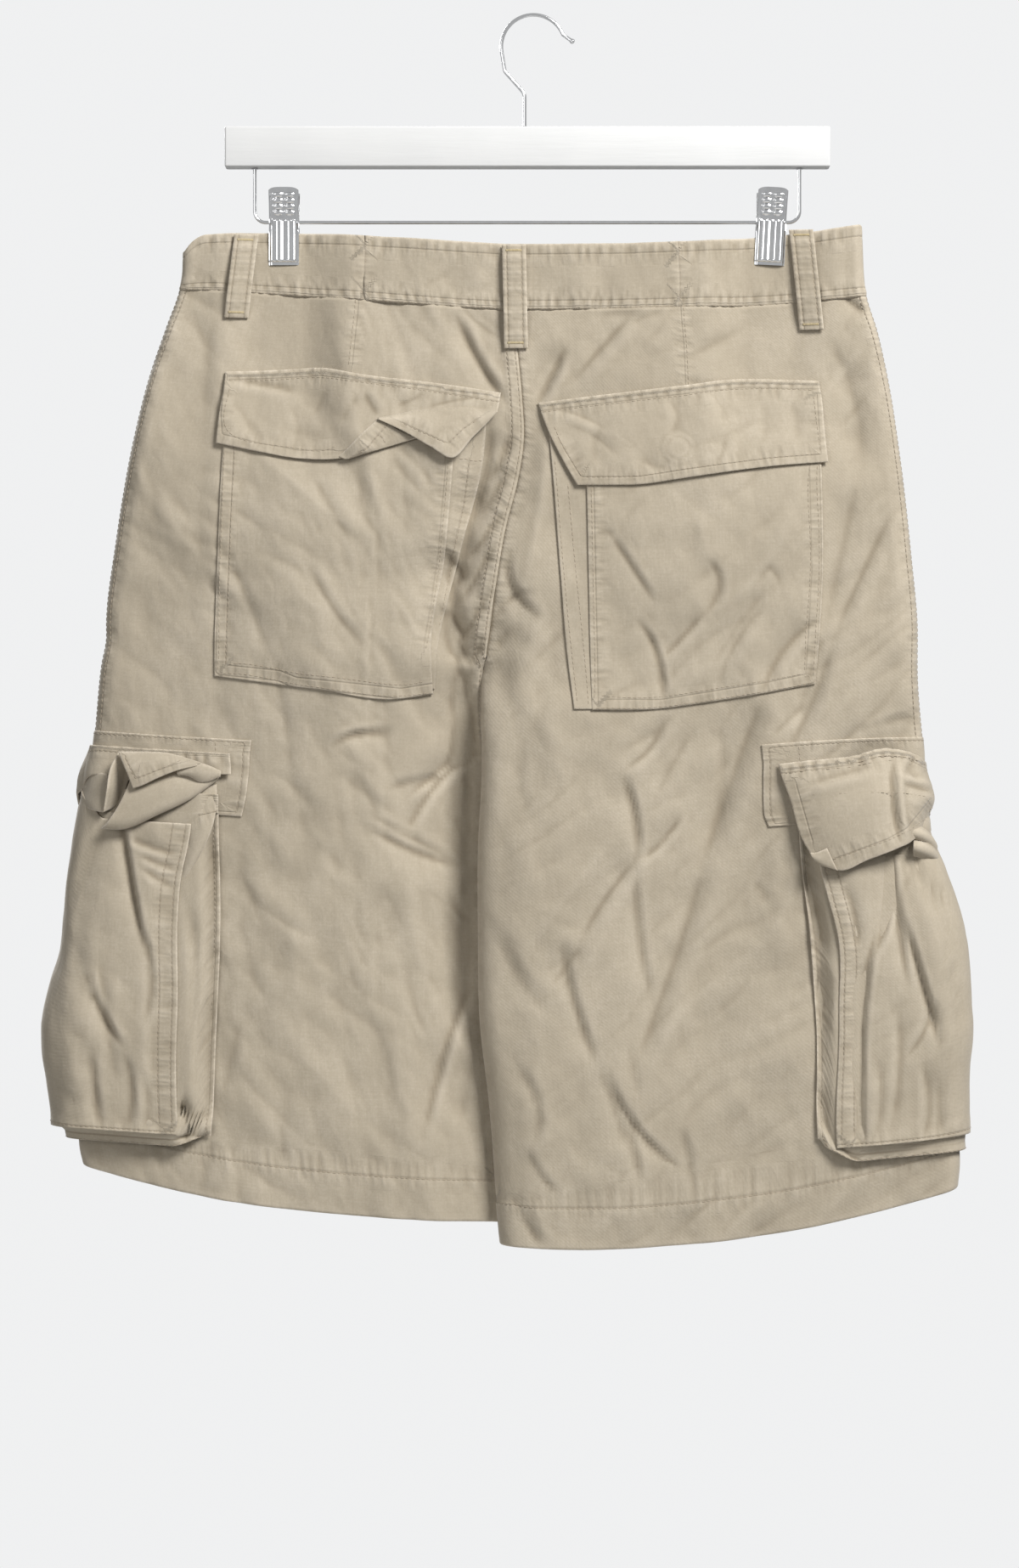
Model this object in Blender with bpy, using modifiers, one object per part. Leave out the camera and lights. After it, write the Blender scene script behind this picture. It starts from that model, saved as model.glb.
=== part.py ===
"""Cargo shorts hanging by their waistband from a wooden hanger with two spring clips.

The garment's back faces -Y and its fly +Y. X runs to the right as seen from behind, Z up.
The origin is the seat of the hanger's hook, the inner top of its bend. Sizes are in millimetres.
"""

import math

import bmesh
import bpy
import numpy as np
from mathutils import Matrix

MM = 0.001
GAP = 0.3  # between pieces that meet

# Cloth thicknesses
TWILL = 1.2
PATCH = 1.0
FLAP = 1.6
LOOP = 2.0
BAND_OUT, BAND_IN = 0.8, 1.7  # the waistband stands this far outside and inside the panels' outer face

# Each leg is laid out on lines that run down it: side seam, pocket's outer edge, pocket's inner
# edge, end of the strip beside it, centre. A row lists a height for four of them and an x for four.
LINES = ("z_side", "z_out", "z_in", "z_centre", "x_side", "x_out", "x_face", "x_in")
LEFT_ROWS = {
    "band_top": (-139, -137, -143, -144, -219, -193, -68, -36),
    "waist": (-172, -173, -184, -185, -222, -193, -68, -36),
    "yoke": (-195, -200, -209, -210, -230, -193, -58, -28),
    "flap_top": (-221, -225, -239, -242, -239, -194, -44, -20),
    "flap_low": (-263, -269, -281, -294, -250, -198, -50, -32),
    "pocket_mid": (-331, -338, -350, -355, -262, -198, -56, -49),
    "fork": (-382, -389, -399, -402, -268, -199, -60, -56),
    "crotch": (-391, -398, -408, -411, -268, -199, -61, -57),
    "pocket_low": (-408, -415, -426, -431, -271, -199, -62, -56),
    "patch_top": (-449, -454, -466, -470, -275, -198, -64, -54),
    "cargo_top": (-458, -463, -476, -480, -276, -196, -65, -53),
    "pouch_top": (-484, -489, -502, -506, -277, -195, -65, -52),
    "patch_low": (-497, -502, -516, -520, -278, -195, -66, -52),
    "cargo_mid": (-566, -573, -587, -591, -281, -194, -68, -51),
    "cargo_deep": (-636, -642, -656, -660, -284, -197, -68, -50),
    "cargo_fold": (-696, -702, -717, -722, -285, -200, -68, -47),
    "cargo_low": (-704, -710, -727, -732, -285, -201, -68, -44),
    "hem": (-722, -741, -757, -758, -282, -202, -68, -42),
}
RIGHT_ROWS = {
    "band_top": (-131, -135, -144, -144, 206, 180, 52, 17),
    "waist": (-176, -179, -185, -185, 209, 180, 52, 17),
    "yoke": (-199, -204, -210, -210, 216, 180, 44, 11),
    "flap_top": (-226, -230, -244, -242, 222, 179, 33, 3),
    "flap_low": (-277, -281, -297, -294, 230, 183, 30, 14),
    "pocket_mid": (-339, -345, -358, -355, 237, 181, 34, 17),
    "fork": (-386, -391, -405, -402, 241, 179, 35, 21),
    "crotch": (-394, -400, -414, -411, 241, 178, 36, 22),
    "pocket_low": (-415, -421, -437, -439, 241, 176, 36, 25),
    "patch_top": (-453, -456, -470, -474, 244, 169, 35, 14),
    "cargo_top": (-465, -468, -484, -487, 245, 167, 34, 11),
    "pouch_top": (-496, -500, -516, -520, 243, 164, 33, 6),
    "patch_low": (-505, -508, -525, -530, 243, 164, 32, 4),
    "cargo_mid": (-572, -577, -597, -603, 254, 171, 28, -4),
    "cargo_deep": (-628, -634, -655, -661, 261, 175, 27, -5),
    "cargo_fold": (-702, -710, -733, -738, 266, 176, 26, -5),
    "cargo_low": (-712, -720, -744, -748, 267, 177, 26, -5),
    "hem": (-736, -759, -772, -771, 266, 176, 26, -5),
}
ROW = {name: index for index, name in enumerate(LEFT_ROWS)}
# Grid steps between one row and the next, from band_top to hem
STEPS = (2, 2, 1, 3, 3, 2, 1, 1, 2, 1, 1, 1, 3, 3, 3, 1, 2)

# The centre seam, then each leg's inner edge: height, x on the left and right leg, half the depth
# there, and how far the right leg's edge lies behind the left's (each leg takes it one way)
CENTRE_COLUMNS = ("z", "left", "right", "half", "shift")
CENTRE = (
    (-144, -12, -12, 9, 0),
    (-185, -12, -12, 10, 0),
    (-210, -10, -10, 12, 0),
    (-242, -7, -7, 13.5, 0),
    (-267, -6, -6, 14, 0),
    (-294, -10, -10, 13.5, 0),
    (-321, -17, -17, 12, 0),
    (-355, -23, -23, 9, 0),
    (-402, -30, -30, 4, 0),
    (-411, -32, -32, 3.2, 0),
    (-439, -32.3, -30.7, 3.5, 5),
    (-470, -28, -31, 4, 5.5),
    (-524, -27, -35, 4, 5.5),
    (-577, -27, -35, 4, 5.5),
    (-630, -26, -34, 4, 5.5),
    (-684, -21, -28, 4, 5.5),
    (-737, -18, -24, 4, 5.5),
    (-780, -16, -20, 4, 5.5),
)

# How full the garment hangs: height, radius of the side fold, half depth of the back and front
DEPTH_COLUMNS = ("z", "fold", "back", "front")
DEPTH = (
    (-130, 6, 9, 9),
    (-175, 6, 10, 9),
    (-230, 9, 15, 12),
    (-300, 11, 21, 15),
    (-411, 11, 20, 16),
    (-500, 10, 18, 16),
    (-640, 10, 17, 15),
    (-780, 9, 16, 14),
)

# Largest folds: side, both ends, height (a trough is negative) and half width
FOLD_COLUMNS = ("side", "x0", "z0", "x1", "z1", "height", "width")
FOLDS = (
    ("back", 144, -426, 66, -654, -4, 12),
    ("back", 48, -453, 74, -617, -3, 11),
    ("back", 62, -526, 23, -593, -3, 10),
    ("back", -30, -563, 11, -622, -3, 10),
    ("back", 26, -622, 80, -713, -3, 11),
    ("back", -46, -430, -46, -748, -4, 9),
    ("back", -51, -344, -38, -405, -4, 9),
    ("back", -158, -443, -151, -558, 3, 16),
    ("back", -151, -558, -114, -673, 3, 16),
    ("back", -95, -440, -85, -640, -2.5, 15),
    ("back", 5, -257, 4, -301, -3, 9),
    ("back", -46, -189, -19, -240, -3, 10),
    ("front", -100, -330, -45, -400, -4, 12),
    ("front", 95, -320, 20, -405, -4, 12),
    ("front", -150, -430, -120, -640, 3, 16),
    ("front", -80, -450, -95, -700, -3, 13),
    ("front", 128, -515, 90, -660, -4, 13),
    ("front", 60, -470, 45, -690, 3, 14),
)

# Where the clips pinch the waistband, and how the pinch fades
CLIP_X = {"left": -156.7, "right": 149.5}
PINCH_HALF_DEPTH = 2.0
PINCH_HALF_WIDTH = 12.0
PINCH_FADE = 33.0
PINCH_TOP, PINCH_END = -160.0, -330.0
CORNER_DROP, CORNER_RUN = 10.0, 18.0  # the left end of the waistband's top edge turns down

# Grid lines across a leg, 0 at the side seam, 1 at x_out, 2 at x_face, 3 at x_in, 4 at the centre
SIDE_LINES = (0, 0.06, 0.12, 0.18, 0.42, 0.69, 1)
BACK_LINES = SIDE_LINES + (1.125, 1.3, 1.475, 1.65, 1.825, 2, 3, 3.4, 3.7, 3.85, 4)
FRONT_LINES = SIDE_LINES + (1.125, 1.34, 1.55, 1.656, 1.83, 2, 3, 3.5, 3.8, 4)
FLY_WIDTH, FLY_STRIP = 40.0, 16.0  # the front's x_face and x_in lines stand this far from its centre
BAND_SIDE_LINES = (0, 0.06, 0.12, 0.18, 0.3, 0.5, 0.75, 1, 1.125, 1.22, 1.33, 1.45)
BAND_FRONT_LINES = BAND_SIDE_LINES + (1.55, 1.656, 1.83, 2, 3, 4)
BAND_SEAM = 1.7  # the seams between the waistband's side and back pieces
SEAM_STEP = 0.0012  # half a seam's gap on that scale
WAIST_STEP = 0.005  # half the waist seam's gap, counted in rows
FLY_STEP = 0.01
CROTCH_GAP = 0.6  # between the two legs where they part
LEAST_DEPTH = 2.0  # from the cloth's outer face to the garment's middle

# Cargo pockets
POUCH_WALL = 1.7  # measured straight out from the panel, also on the sloping gusset
GUSSET = 0.31  # share of the side strip that the gusset takes
# How far each pocket's outer face stands off the panel beyond its foot: row, at the side seam, and
# where the pocket faces back or front
POUCH_BULK = {
    "left": (
        ("pouch_top", 1, 8),
        ("patch_low", 2, 9),
        ("cargo_mid", 10, 13),
        ("cargo_deep", 20, 16),
        ("cargo_fold", 14, 13),
        ("cargo_low", 0, 0),
    ),
    "right": (
        ("pouch_top", 1, 8),
        ("patch_low", 2, 9),
        ("cargo_mid", 13, 13),
        ("cargo_deep", 11, 13),
        ("cargo_fold", 4, 11),
        ("cargo_low", 0, 0),
    ),
}
FLAP_CLEARANCE = 1.3

# Hanger
BAR_SIZE = (380.2, 12.0, 25.6)
BAR_CENTRE = (-3.7, 0.0, -82.5)
BAR_EDGE = 1.6
HOOK_WIRE = 1.15
HOOK_RADIUS = 19.0 + HOOK_WIRE
HOOK_CENTRE_Z = -19.0
HOOK_FROM, HOOK_TO = 189, 22  # degrees, over the top
HOOK_TIP = (25.6, -16.3)
SHANK_X = -5.5
SHANK_DEPTH = 10.0
FRAME_WIRE = 1.1
FRAME_X = (-175.2, 167.4)
FRAME_Z = -129.5
FRAME_BEND = 7.0
STEM_DEPTH = 8.0
CLIP_WIDTH = 18.8
CLIP_SHEET = 1.0
CLIP_EDGE = 1.0
# The jaw's inner face: height from the wire's axis, distance from the hanger's mid-plane, and how far
# its side flange turns in
JAW = (
    (20.8, 9.5, 0.5),
    (15, 8.0, 2.0),
    (8, 6.0, 2.4),
    (0, 4.2, 2.4),
    (-6, 3.7, 0.0),
    (-10, 3.5, 0.0),
    (-20, 3.3, 0.0),
    (-27.2, PINCH_HALF_DEPTH + BAND_OUT + GAP, 0.0),
)
SPRING_RADIUS, SPRING_BORE, SPRING_LENGTH = 2.5, 1.45, 12.0

BUTTON_RADIUS, BUTTON_THICKNESS = 8.5, 2.8
BUTTON_X, BUTTON_Z = -24.0, -163.0


def curve_through(xs, ys, at):
    """A smooth curve through table points, xs rising."""
    xs, ys = np.asarray(xs, float), np.asarray(ys, float)
    slopes = np.gradient(ys, xs)
    at = np.clip(at, xs[0], xs[-1])
    index = np.clip(np.searchsorted(xs, at) - 1, 0, len(xs) - 2)
    step = xs[index + 1] - xs[index]
    t = (at - xs[index]) / step
    ends = ys[index] * (1 + 2 * t) * (1 - t) ** 2 + ys[index + 1] * t**2 * (3 - 2 * t)
    return ends + step * (slopes[index] * t * (1 - t) ** 2 - slopes[index + 1] * t**2 * (1 - t))


def smooth(t):
    """0 to 1 with level ends."""
    t = np.clip(t, 0, 1)
    return t * t * (3 - 2 * t)


def by_height(table, columns):
    """A table's columns as functions of z, read from the bottom row up."""
    rows = np.array(sorted(table), float)
    return {name: (rows[:, 0], rows[:, k]) for k, name in enumerate(columns)}


CENTRE_BY_Z = by_height(CENTRE, CENTRE_COLUMNS)
DEPTH_BY_Z = by_height(DEPTH, DEPTH_COLUMNS)


def crease(side, x, z):
    """The folds' height over the smooth form."""
    total = np.zeros_like(x)
    for row in FOLDS:
        fold = dict(zip(FOLD_COLUMNS, row))
        if fold["side"] != side:
            continue
        run_x, run_z = fold["x1"] - fold["x0"], fold["z1"] - fold["z0"]
        along = ((x - fold["x0"]) * run_x + (z - fold["z0"]) * run_z) / (run_x**2 + run_z**2)
        along = np.clip(along, 0, 1)
        away = np.hypot(x - fold["x0"] - along * run_x, z - fold["z0"] - along * run_z)
        total += fold["height"] * np.exp(-((away / fold["width"]) ** 2))
    return total


class Leg:
    """Half the garment. p counts lines from the side seam, minus on the front; q counts rows."""

    def __init__(self, side, rows):
        self.side = side
        self.inward = 1 if side == "left" else -1
        table = np.array(list(rows.values()), float)
        self.down = -table[:, 1]
        self.lines = {name: table[:, k] for k, name in enumerate(LINES)}

    def row(self, q):
        """Every line's place on row q, and the centre's and depth's values there."""
        down = np.interp(q, range(len(self.down)), self.down)
        row = {name: curve_through(self.down, line, down) for name, line in self.lines.items()}
        for name in ("half", "shift"):
            row[name] = curve_through(*CENTRE_BY_Z[name], row["z_centre"])
        row["x_centre"] = curve_through(*CENTRE_BY_Z[self.side], row["z_centre"])
        fork, crotch = LEFT_ROWS["fork"][3], LEFT_ROWS["crotch"][3]
        closed = np.clip((fork - row["z_centre"]) / (fork - crotch), 0, 1)
        row["closed"] = closed
        row["x_centre"] = row["x_centre"] - self.inward * CROTCH_GAP / 2 * closed
        row["fold"] = curve_through(*DEPTH_BY_Z["fold"], row["z_out"])
        return row

    def side_length(self, row):
        """Cloth from the side seam to x_out, round the side fold."""
        return row["fold"] * (math.pi / 2 - 1) + self.inward * (row["x_out"] - row["x_side"])

    def inner_length(self, row, x_in):
        """Cloth from x_in to the centre, round the inner fold where the leg is closed."""
        bend = row["closed"] * row["half"]
        return bend * (math.pi / 2 - 1) + self.inward * (row["x_centre"] - x_in)

    def place(self, p, q):
        """The point of the cloth's outer face at p, q."""
        row = self.row(q)
        front = p < 0
        a = np.abs(p)
        x_face = np.where(front, row["x_centre"] - self.inward * FLY_WIDTH, row["x_face"])
        x_in = np.where(front, row["x_centre"] - self.inward * FLY_STRIP, row["x_in"])

        fold = row["fold"]
        around = np.minimum(a, 1) * self.side_length(row)
        turn = np.minimum(around / fold, math.pi / 2)
        from_side = fold * (1 - np.cos(turn)) + np.maximum(around - fold * math.pi / 2, 0)

        bend = np.maximum(row["closed"] * row["half"], 1e-6)
        back_off = np.minimum(4 - a, 1) * self.inner_length(row, x_in)
        inner_turn = np.minimum(back_off / bend, math.pi / 2)
        from_centre = bend * (1 - np.cos(inner_turn)) + np.maximum(back_off - bend * math.pi / 2, 0)

        x = np.where(a <= 1, row["x_side"] + self.inward * from_side, 0)
        x = np.where((a > 1) & (a <= 2), row["x_out"] + (a - 1) * (x_face - row["x_out"]), x)
        x = np.where((a > 2) & (a <= 3), x_face + (a - 2) * (x_in - x_face), x)
        x = np.where(a > 3, row["x_centre"] - self.inward * from_centre, x)

        width = row["x_centre"] - row["x_side"]
        s = (x - row["x_side"]) / width
        s_out = (row["x_out"] - row["x_side"]) / width
        s_in = (row["x_in"] - row["x_side"]) / width
        z = self.level(s, s_out, s_in, row)

        full = np.where(
            front,
            curve_through(*DEPTH_BY_Z["front"], z),
            curve_through(*DEPTH_BY_Z["back"], z),
        )
        depth = fold + (full - fold) * smooth(s / 0.35)
        depth = depth + (row["half"] - depth) * smooth((s - 0.5) / 0.5)
        inside = smooth((1 - s) / 0.1)
        depth = depth + np.where(front, crease("front", x, z), crease("back", x, z)) * inside
        depth = np.maximum(depth, LEAST_DEPTH)
        fade = 1 - smooth((np.abs(x - CLIP_X[self.side]) - PINCH_HALF_WIDTH) / PINCH_FADE)
        pinch = fade * (1 - smooth((PINCH_TOP - z) / (PINCH_TOP - PINCH_END)))
        depth = depth + (PINCH_HALF_DEPTH - depth) * pinch
        inner = np.where(a > 3, 1 - row["closed"] * (1 - np.sin(inner_turn)), 1)
        y = depth * np.sin(turn) * inner * np.where(front, 1, -1)
        y = y + self.inward * row["shift"] * smooth((s - 0.35) / 0.65)
        return np.stack([x, y, z], axis=-1)

    def level(self, s, s_out, s_in, row):
        """A row's height across the leg: the cubic through its four given heights."""
        z0, z1, z2, z3 = (row[name] for name in LINES[:4])
        first = (z1 - z0) / s_out
        second = (z2 - z1) / (s_in - s_out)
        third = (z3 - z2) / (1 - s_in)
        bend = (second - first) / s_in
        later = (third - second) / (1 - s_out)
        return z0 + s * (first + (s - s_out) * (bend + (s - s_in) * (later - bend)))

    def cloth(self, p, q, lift):
        """A point lift mm outside the cloth's outer face."""
        small = 1e-3
        last = len(self.down) - 1
        across = self.place(np.minimum(p + small, 4), q) - self.place(np.maximum(p - small, -4), q)
        down = self.place(p, np.minimum(q + small, last)) - self.place(p, np.maximum(q - small, 0))
        normal = -self.inward * np.cross(across, down)
        normal /= np.linalg.norm(normal, axis=-1, keepdims=True)
        return self.place(p, q) + normal * np.asarray(lift, float)[..., None]


LEGS = {"left": Leg("left", LEFT_ROWS), "right": Leg("right", RIGHT_ROWS)}


def around(g, q, lift):
    """The whole garment: g runs from the fly (-4) by the left side (0) and the centre back (4)
    to the right side (8) and the fly again (12)."""
    on_left = (g <= 4)[..., None]
    left = LEGS["left"].cloth(np.minimum(g, 4), q, lift)
    right = LEGS["right"].cloth(np.clip(8 - g, -4, 4), q, lift)
    return np.where(on_left, left, right)


def grid_rows(first, last):
    """The panels' grid rows from one counted row to another."""
    rows = [0.0]
    for index, steps in enumerate(STEPS):
        rows += [index + (k + 1) / steps for k in range(steps)]
    inside = [q for q in rows if first + 1e-6 < q < last - 1e-6]
    return [first] + inside + [last]


def sheet(name, columns, rows, surface, low, high, material):
    """A closed sheet: a grid for its inner face, extruded to its outer face. surface(u, v, lift)
    gives a point, and low and high are the two faces' lifts, numbers or functions of u and v."""
    mesh = bmesh.new()
    bmesh.ops.create_grid(
        mesh, x_segments=len(columns) - 1, y_segments=len(rows) - 1, size=1
    )
    made = bmesh.ops.extrude_face_region(mesh, geom=mesh.faces[:], use_keep_orig=True)
    for item in made["geom"]:
        if isinstance(item, bmesh.types.BMVert):
            item.co.z = 1
    start = np.array([vert.co for vert in mesh.verts])
    u = np.asarray(columns, float)[np.rint((start[:, 0] + 1) / 2 * (len(columns) - 1)).astype(int)]
    v = np.asarray(rows, float)[np.rint((start[:, 1] + 1) / 2 * (len(rows) - 1)).astype(int)]
    lifts = [side(u, v) if callable(side) else np.full(len(u), float(side)) for side in (low, high)]
    points = surface(u, v, np.where(start[:, 2] > 0.5, lifts[1], lifts[0])) * MM
    for vert, point in zip(mesh.verts, points):
        vert.co = point
    bmesh.ops.recalc_face_normals(mesh, faces=mesh.faces[:])
    if mesh.calc_volume(signed=True) < 0:
        bmesh.ops.reverse_faces(mesh, faces=mesh.faces[:])
    return finish(name, mesh, material)


def finish(name, mesh, material):
    """A bmesh as a named object of the garment."""
    data = bpy.data.meshes.new(name)
    mesh.to_mesh(data)
    mesh.free()
    data.shade_smooth()
    data.set_sharp_from_angle(angle=math.radians(40))
    obj = bpy.data.objects.new(name, data)
    PARTS.objects.link(obj)
    obj.data.materials.append(material)
    return obj


def make_material(name, colour, roughness, metallic=0.0):
    material = bpy.data.materials.new(name)
    material.use_nodes = True
    shader = material.node_tree.nodes["Principled BSDF"]
    shader.inputs["Base Color"].default_value = (*colour, 1)
    shader.inputs["Roughness"].default_value = roughness
    shader.inputs["Metallic"].default_value = metallic
    return material


def panel(side, face, material):
    """One of the four trouser panels, from waist seam to hem, side seam to centre."""
    leg = LEGS[side]
    sign = 1 if face == "back" else -1
    lines = BACK_LINES if face == "back" else FRONT_LINES

    def surface(u, v, lift):
        row = leg.row(v)
        x_in = row["x_in"] if face == "back" else row["x_centre"] - leg.inward * FLY_STRIP
        at_side = GAP / 2 / leg.side_length(row)
        at_centre = 4 - GAP / 2 / leg.inner_length(row, x_in)
        return leg.cloth(sign * np.clip(u, at_side, at_centre), v, lift)

    rows = grid_rows(ROW["waist"] + WAIST_STEP, ROW["hem"])
    sheet(f"{face}_{side}_panel", lines, rows, surface, -TWILL, 0, material)


def waistband(material):
    """The band in three pieces: centre back, and each side round to the fly."""
    rows = grid_rows(ROW["band_top"], ROW["waist"] - WAIST_STEP)
    side = sorted([-a for a in BAND_FRONT_LINES[1:-1]] + [-4 + FLY_STEP])
    side += [*BAND_SIDE_LINES, 1.55, BAND_SEAM - SEAM_STEP]
    back = [BAND_SEAM + SEAM_STEP, 1.85, 2, 3, 3.5, 4]
    back += [8 - a for a in reversed(back[:-1])]

    def left_end(u, v, lift):
        """The band's surface, its top edge turned down at the side."""
        points = around(u, v, lift)
        from_side = points[:, 0] - LEFT_ROWS["band_top"][4]
        drop = CORNER_DROP * np.clip(1 - from_side / CORNER_RUN, 0, 1) ** 2
        points[:, 2] -= drop * (ROW["waist"] - v)
        return points

    sheet("waistband_left", side, rows, left_end, -BAND_IN, BAND_OUT, material)
    sheet("waistband_back", back, rows, around, -BAND_IN, BAND_OUT, material)
    right = [8 - a for a in side]
    sheet("waistband_right", right, rows, around, -BAND_IN, BAND_OUT, material)


# Belt loops: name, the two or three grid lines each one covers, and how many rows below the waist
# seam its foot reaches
BELT_LOOPS = (
    ("back_left", (1, 1.125), 0.75),
    ("back_right", (6.875, 7), 0.75),
    ("centre", (3.7, 4, 4.3), 1.1),
    ("front_left", (-1.656, -1.55), 0.75),
    ("front_right", (9.55, 9.656), 0.75),
)


def belt_loops(material):
    """Strips from the waistband's top edge to the panel below it, bowed out between their ends."""
    for name, lines, reach in BELT_LOOPS:
        foot = ROW["waist"] + reach
        rows = [0.03, 0.2, 0.5, 0.8, 1.0, 1 + reach / 2, foot]
        rise = [GAP, 1.2, 1.8, 1.6, 1.2, 0.5, GAP]

        def low(u, v):
            base = BAND_OUT * (1 - smooth((v - 1.0) / (reach * 0.6)))
            return base + 0.1 + np.interp(v, rows, rise)

        def high(u, v):
            return low(u, v) + LOOP

        sheet(f"belt_loop_{name}", lines, rows, around, low, high, material)


def back_pocket(side, material):
    """A patch pocket with a strip beside it, and the flap above, wider than the pocket."""
    leg = LEGS[side]
    lines = [a for a in BACK_LINES if 1 <= a <= 3]
    third = ROW["flap_top"] + 2 / 3
    rows = grid_rows(third, ROW["pocket_low"])
    sheet(f"back_{side}_pocket", lines, rows, leg.cloth, GAP, GAP + TWILL, material)

    def curl(u, w):
        """The lower edge of the left flap turns up between its middle and its inner corner."""
        if side == "right":
            return np.zeros_like(u)
        return smooth((u - 1.45) / 0.4) * smooth((2.7 - u) / 0.5) * smooth((w - 0.4) / 0.6)

    def surface(u, v, lift):
        w = v - ROW["flap_top"]
        narrow = 1 + (u - 1) * (1 - 0.5 * w)
        return leg.cloth(narrow, v - 0.4 * curl(u, w), lift + 7 * curl(u, w))

    def low(u, v):
        w = v - ROW["flap_top"]
        return 0.6 + 2.0 * np.minimum(1.5 * w, 1)

    def high(u, v):
        return low(u, v) + FLAP

    rows = grid_rows(ROW["flap_top"], ROW["flap_low"])
    sheet(f"back_{side}_flap", lines, rows, surface, low, high, material)


def pouch_lift(side, p, q):
    """How far a cargo pocket's outer face stands off the panel."""
    names, at_side, facing = zip(*POUCH_BULK[side])
    rows = [ROW[name] for name in names]
    turned = smooth(np.abs(p) / 0.5)
    bulk = np.interp(q, rows, at_side) * (1 - turned) + np.interp(q, rows, facing) * turned
    gusset = np.clip((1 - np.abs(p)) / GUSSET, 0, 1) ** 0.85
    on_patch = 1 - np.clip((q - ROW["patch_low"]) * 3, 0, 1)
    return GAP + POUCH_WALL + on_patch * (PATCH + GAP) + bulk * gusset


def cargo_pocket(side, material):
    """The patch sewn to the panel, the bellows pocket that wraps the side seam, open at its top,
    and its flap."""
    leg = LEGS[side]
    wrap = sorted({-a for a in SIDE_LINES} | set(SIDE_LINES))
    patch_lines = [-1.125] + wrap + [1.125]
    rows = grid_rows(ROW["patch_top"], ROW["patch_low"])
    sheet(f"cargo_{side}_patch", patch_lines, rows, leg.cloth, GAP, GAP + PATCH, material)

    def outside(u, v):
        return pouch_lift(side, u, v)

    def inside(u, v):
        return outside(u, v) - POUCH_WALL

    rows = grid_rows(ROW["pouch_top"], ROW["cargo_low"])
    sheet(f"cargo_{side}_pocket", wrap, rows, leg.cloth, inside, outside, material)

    flap_rows = [ROW["cargo_top"], ROW["cargo_top"] + 0.5] + grid_rows(
        ROW["pouch_top"], ROW["patch_low"] + 1 / 3
    )

    def reach(p):
        """How far down the flap reaches, as a share of its deepest: crumpled up on the left leg's
        back corner, a little shorter round the right leg's side."""
        if side == "left":
            return 0.9 - 0.58 * smooth((p - 0.2) / 0.7)
        return 1 - 0.15 * (1 - smooth(np.abs(p) / 0.6))

    def surface(u, v, lift):
        return leg.cloth(u, ROW["cargo_top"] + (v - ROW["cargo_top"]) * reach(u), lift)

    def low(u, v):
        q = ROW["cargo_top"] + (v - ROW["cargo_top"]) * reach(u)
        over = outside(u, np.maximum(q, ROW["pouch_top"])) + FLAP_CLEARANCE
        seam = GAP + PATCH + GAP
        return seam + (over - seam) * np.clip(q - ROW["cargo_top"], 0, 1) ** 0.8

    def high(u, v):
        return low(u, v) + FLAP

    sheet(f"cargo_{side}_flap", wrap, flap_rows, surface, low, high, material)


def fly(cloth_material, button_material):
    """The fly's outer placket on the left front panel, and the waist button above it."""
    lines = [-a for a in FRONT_LINES if 2 <= a < 4] + [-4 + FLY_STEP]
    rows = grid_rows(ROW["waist"] + WAIST_STEP, ROW["flap_low"] + 2 / 3)
    sheet("fly_placket", lines, rows, LEGS["left"].cloth, GAP, GAP + PATCH, cloth_material)

    band = around(np.linspace(-4, -2, 60), np.full(60, 0.6), np.full(60, BAND_OUT))
    nearest = band[np.argmin(np.abs(band[:, 0] - BUTTON_X))]
    mesh = bmesh.new()
    bmesh.ops.create_cone(
        mesh, cap_ends=True, segments=24, radius1=BUTTON_RADIUS, radius2=BUTTON_RADIUS,
        depth=BUTTON_THICKNESS,
    )
    rims = [edge for edge in mesh.edges if not edge.is_boundary and edge.calc_face_angle() > 1]
    bmesh.ops.bevel(mesh, geom=rims, offset=0.7, segments=2, profile=0.5, affect="EDGES")
    obj = finish("waist_button", mesh, button_material)
    obj.scale = (MM, MM, MM)
    obj.rotation_euler = (math.radians(90), 0, 0)
    stand = nearest[1] + BUTTON_THICKNESS / 2 + GAP + 0.3
    obj.location = (BUTTON_X * MM, stand * MM, BUTTON_Z * MM)


def round_corners(points, steps=4):
    """A flat path (x, z, corner radius) with its corners turned to arcs."""
    path = [np.array(points[0][:2], float)]
    for before, corner, after in zip(points, points[1:], points[2:]):
        here = np.array(corner[:2], float)
        back = np.array(before[:2]) - here
        ahead = np.array(after[:2]) - here
        back /= np.linalg.norm(back)
        ahead /= np.linalg.norm(ahead)
        half = math.acos(float(np.clip(back @ ahead, -1, 1))) / 2
        centre = here + (back + ahead) / np.linalg.norm(back + ahead) * corner[2] / math.sin(half)
        start = here + back * corner[2] / math.tan(half) - centre
        end = here + ahead * corner[2] / math.tan(half) - centre
        for k in range(steps + 1):
            mid = start + (end - start) * k / steps
            path.append(centre + mid / np.linalg.norm(mid) * corner[2])
    path.append(np.array(points[-1][:2], float))
    return path


def wire(name, path, radius, material, tip=1.0):
    """A round wire along a flat path, its last points swollen to a ball when tip is over 1."""
    data = bpy.data.curves.new(name, "CURVE")
    data.dimensions = "3D"
    data.bevel_depth = radius * MM
    data.bevel_resolution = 2
    data.use_fill_caps = True
    spline = data.splines.new("POLY")
    spline.points.add(len(path) - 1)
    for point, (x, z) in zip(spline.points, path):
        point.co = (x * MM, 0, z * MM, 1)
    for back, swell in ((-1, 0.6), (-2, 1.0), (-3, 0.75)):
        spline.points[back].radius = 1 + (tip - 1) * swell
    obj = bpy.data.objects.new(name, data)
    PARTS.objects.link(obj)
    data.materials.append(material)
    return obj


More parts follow.
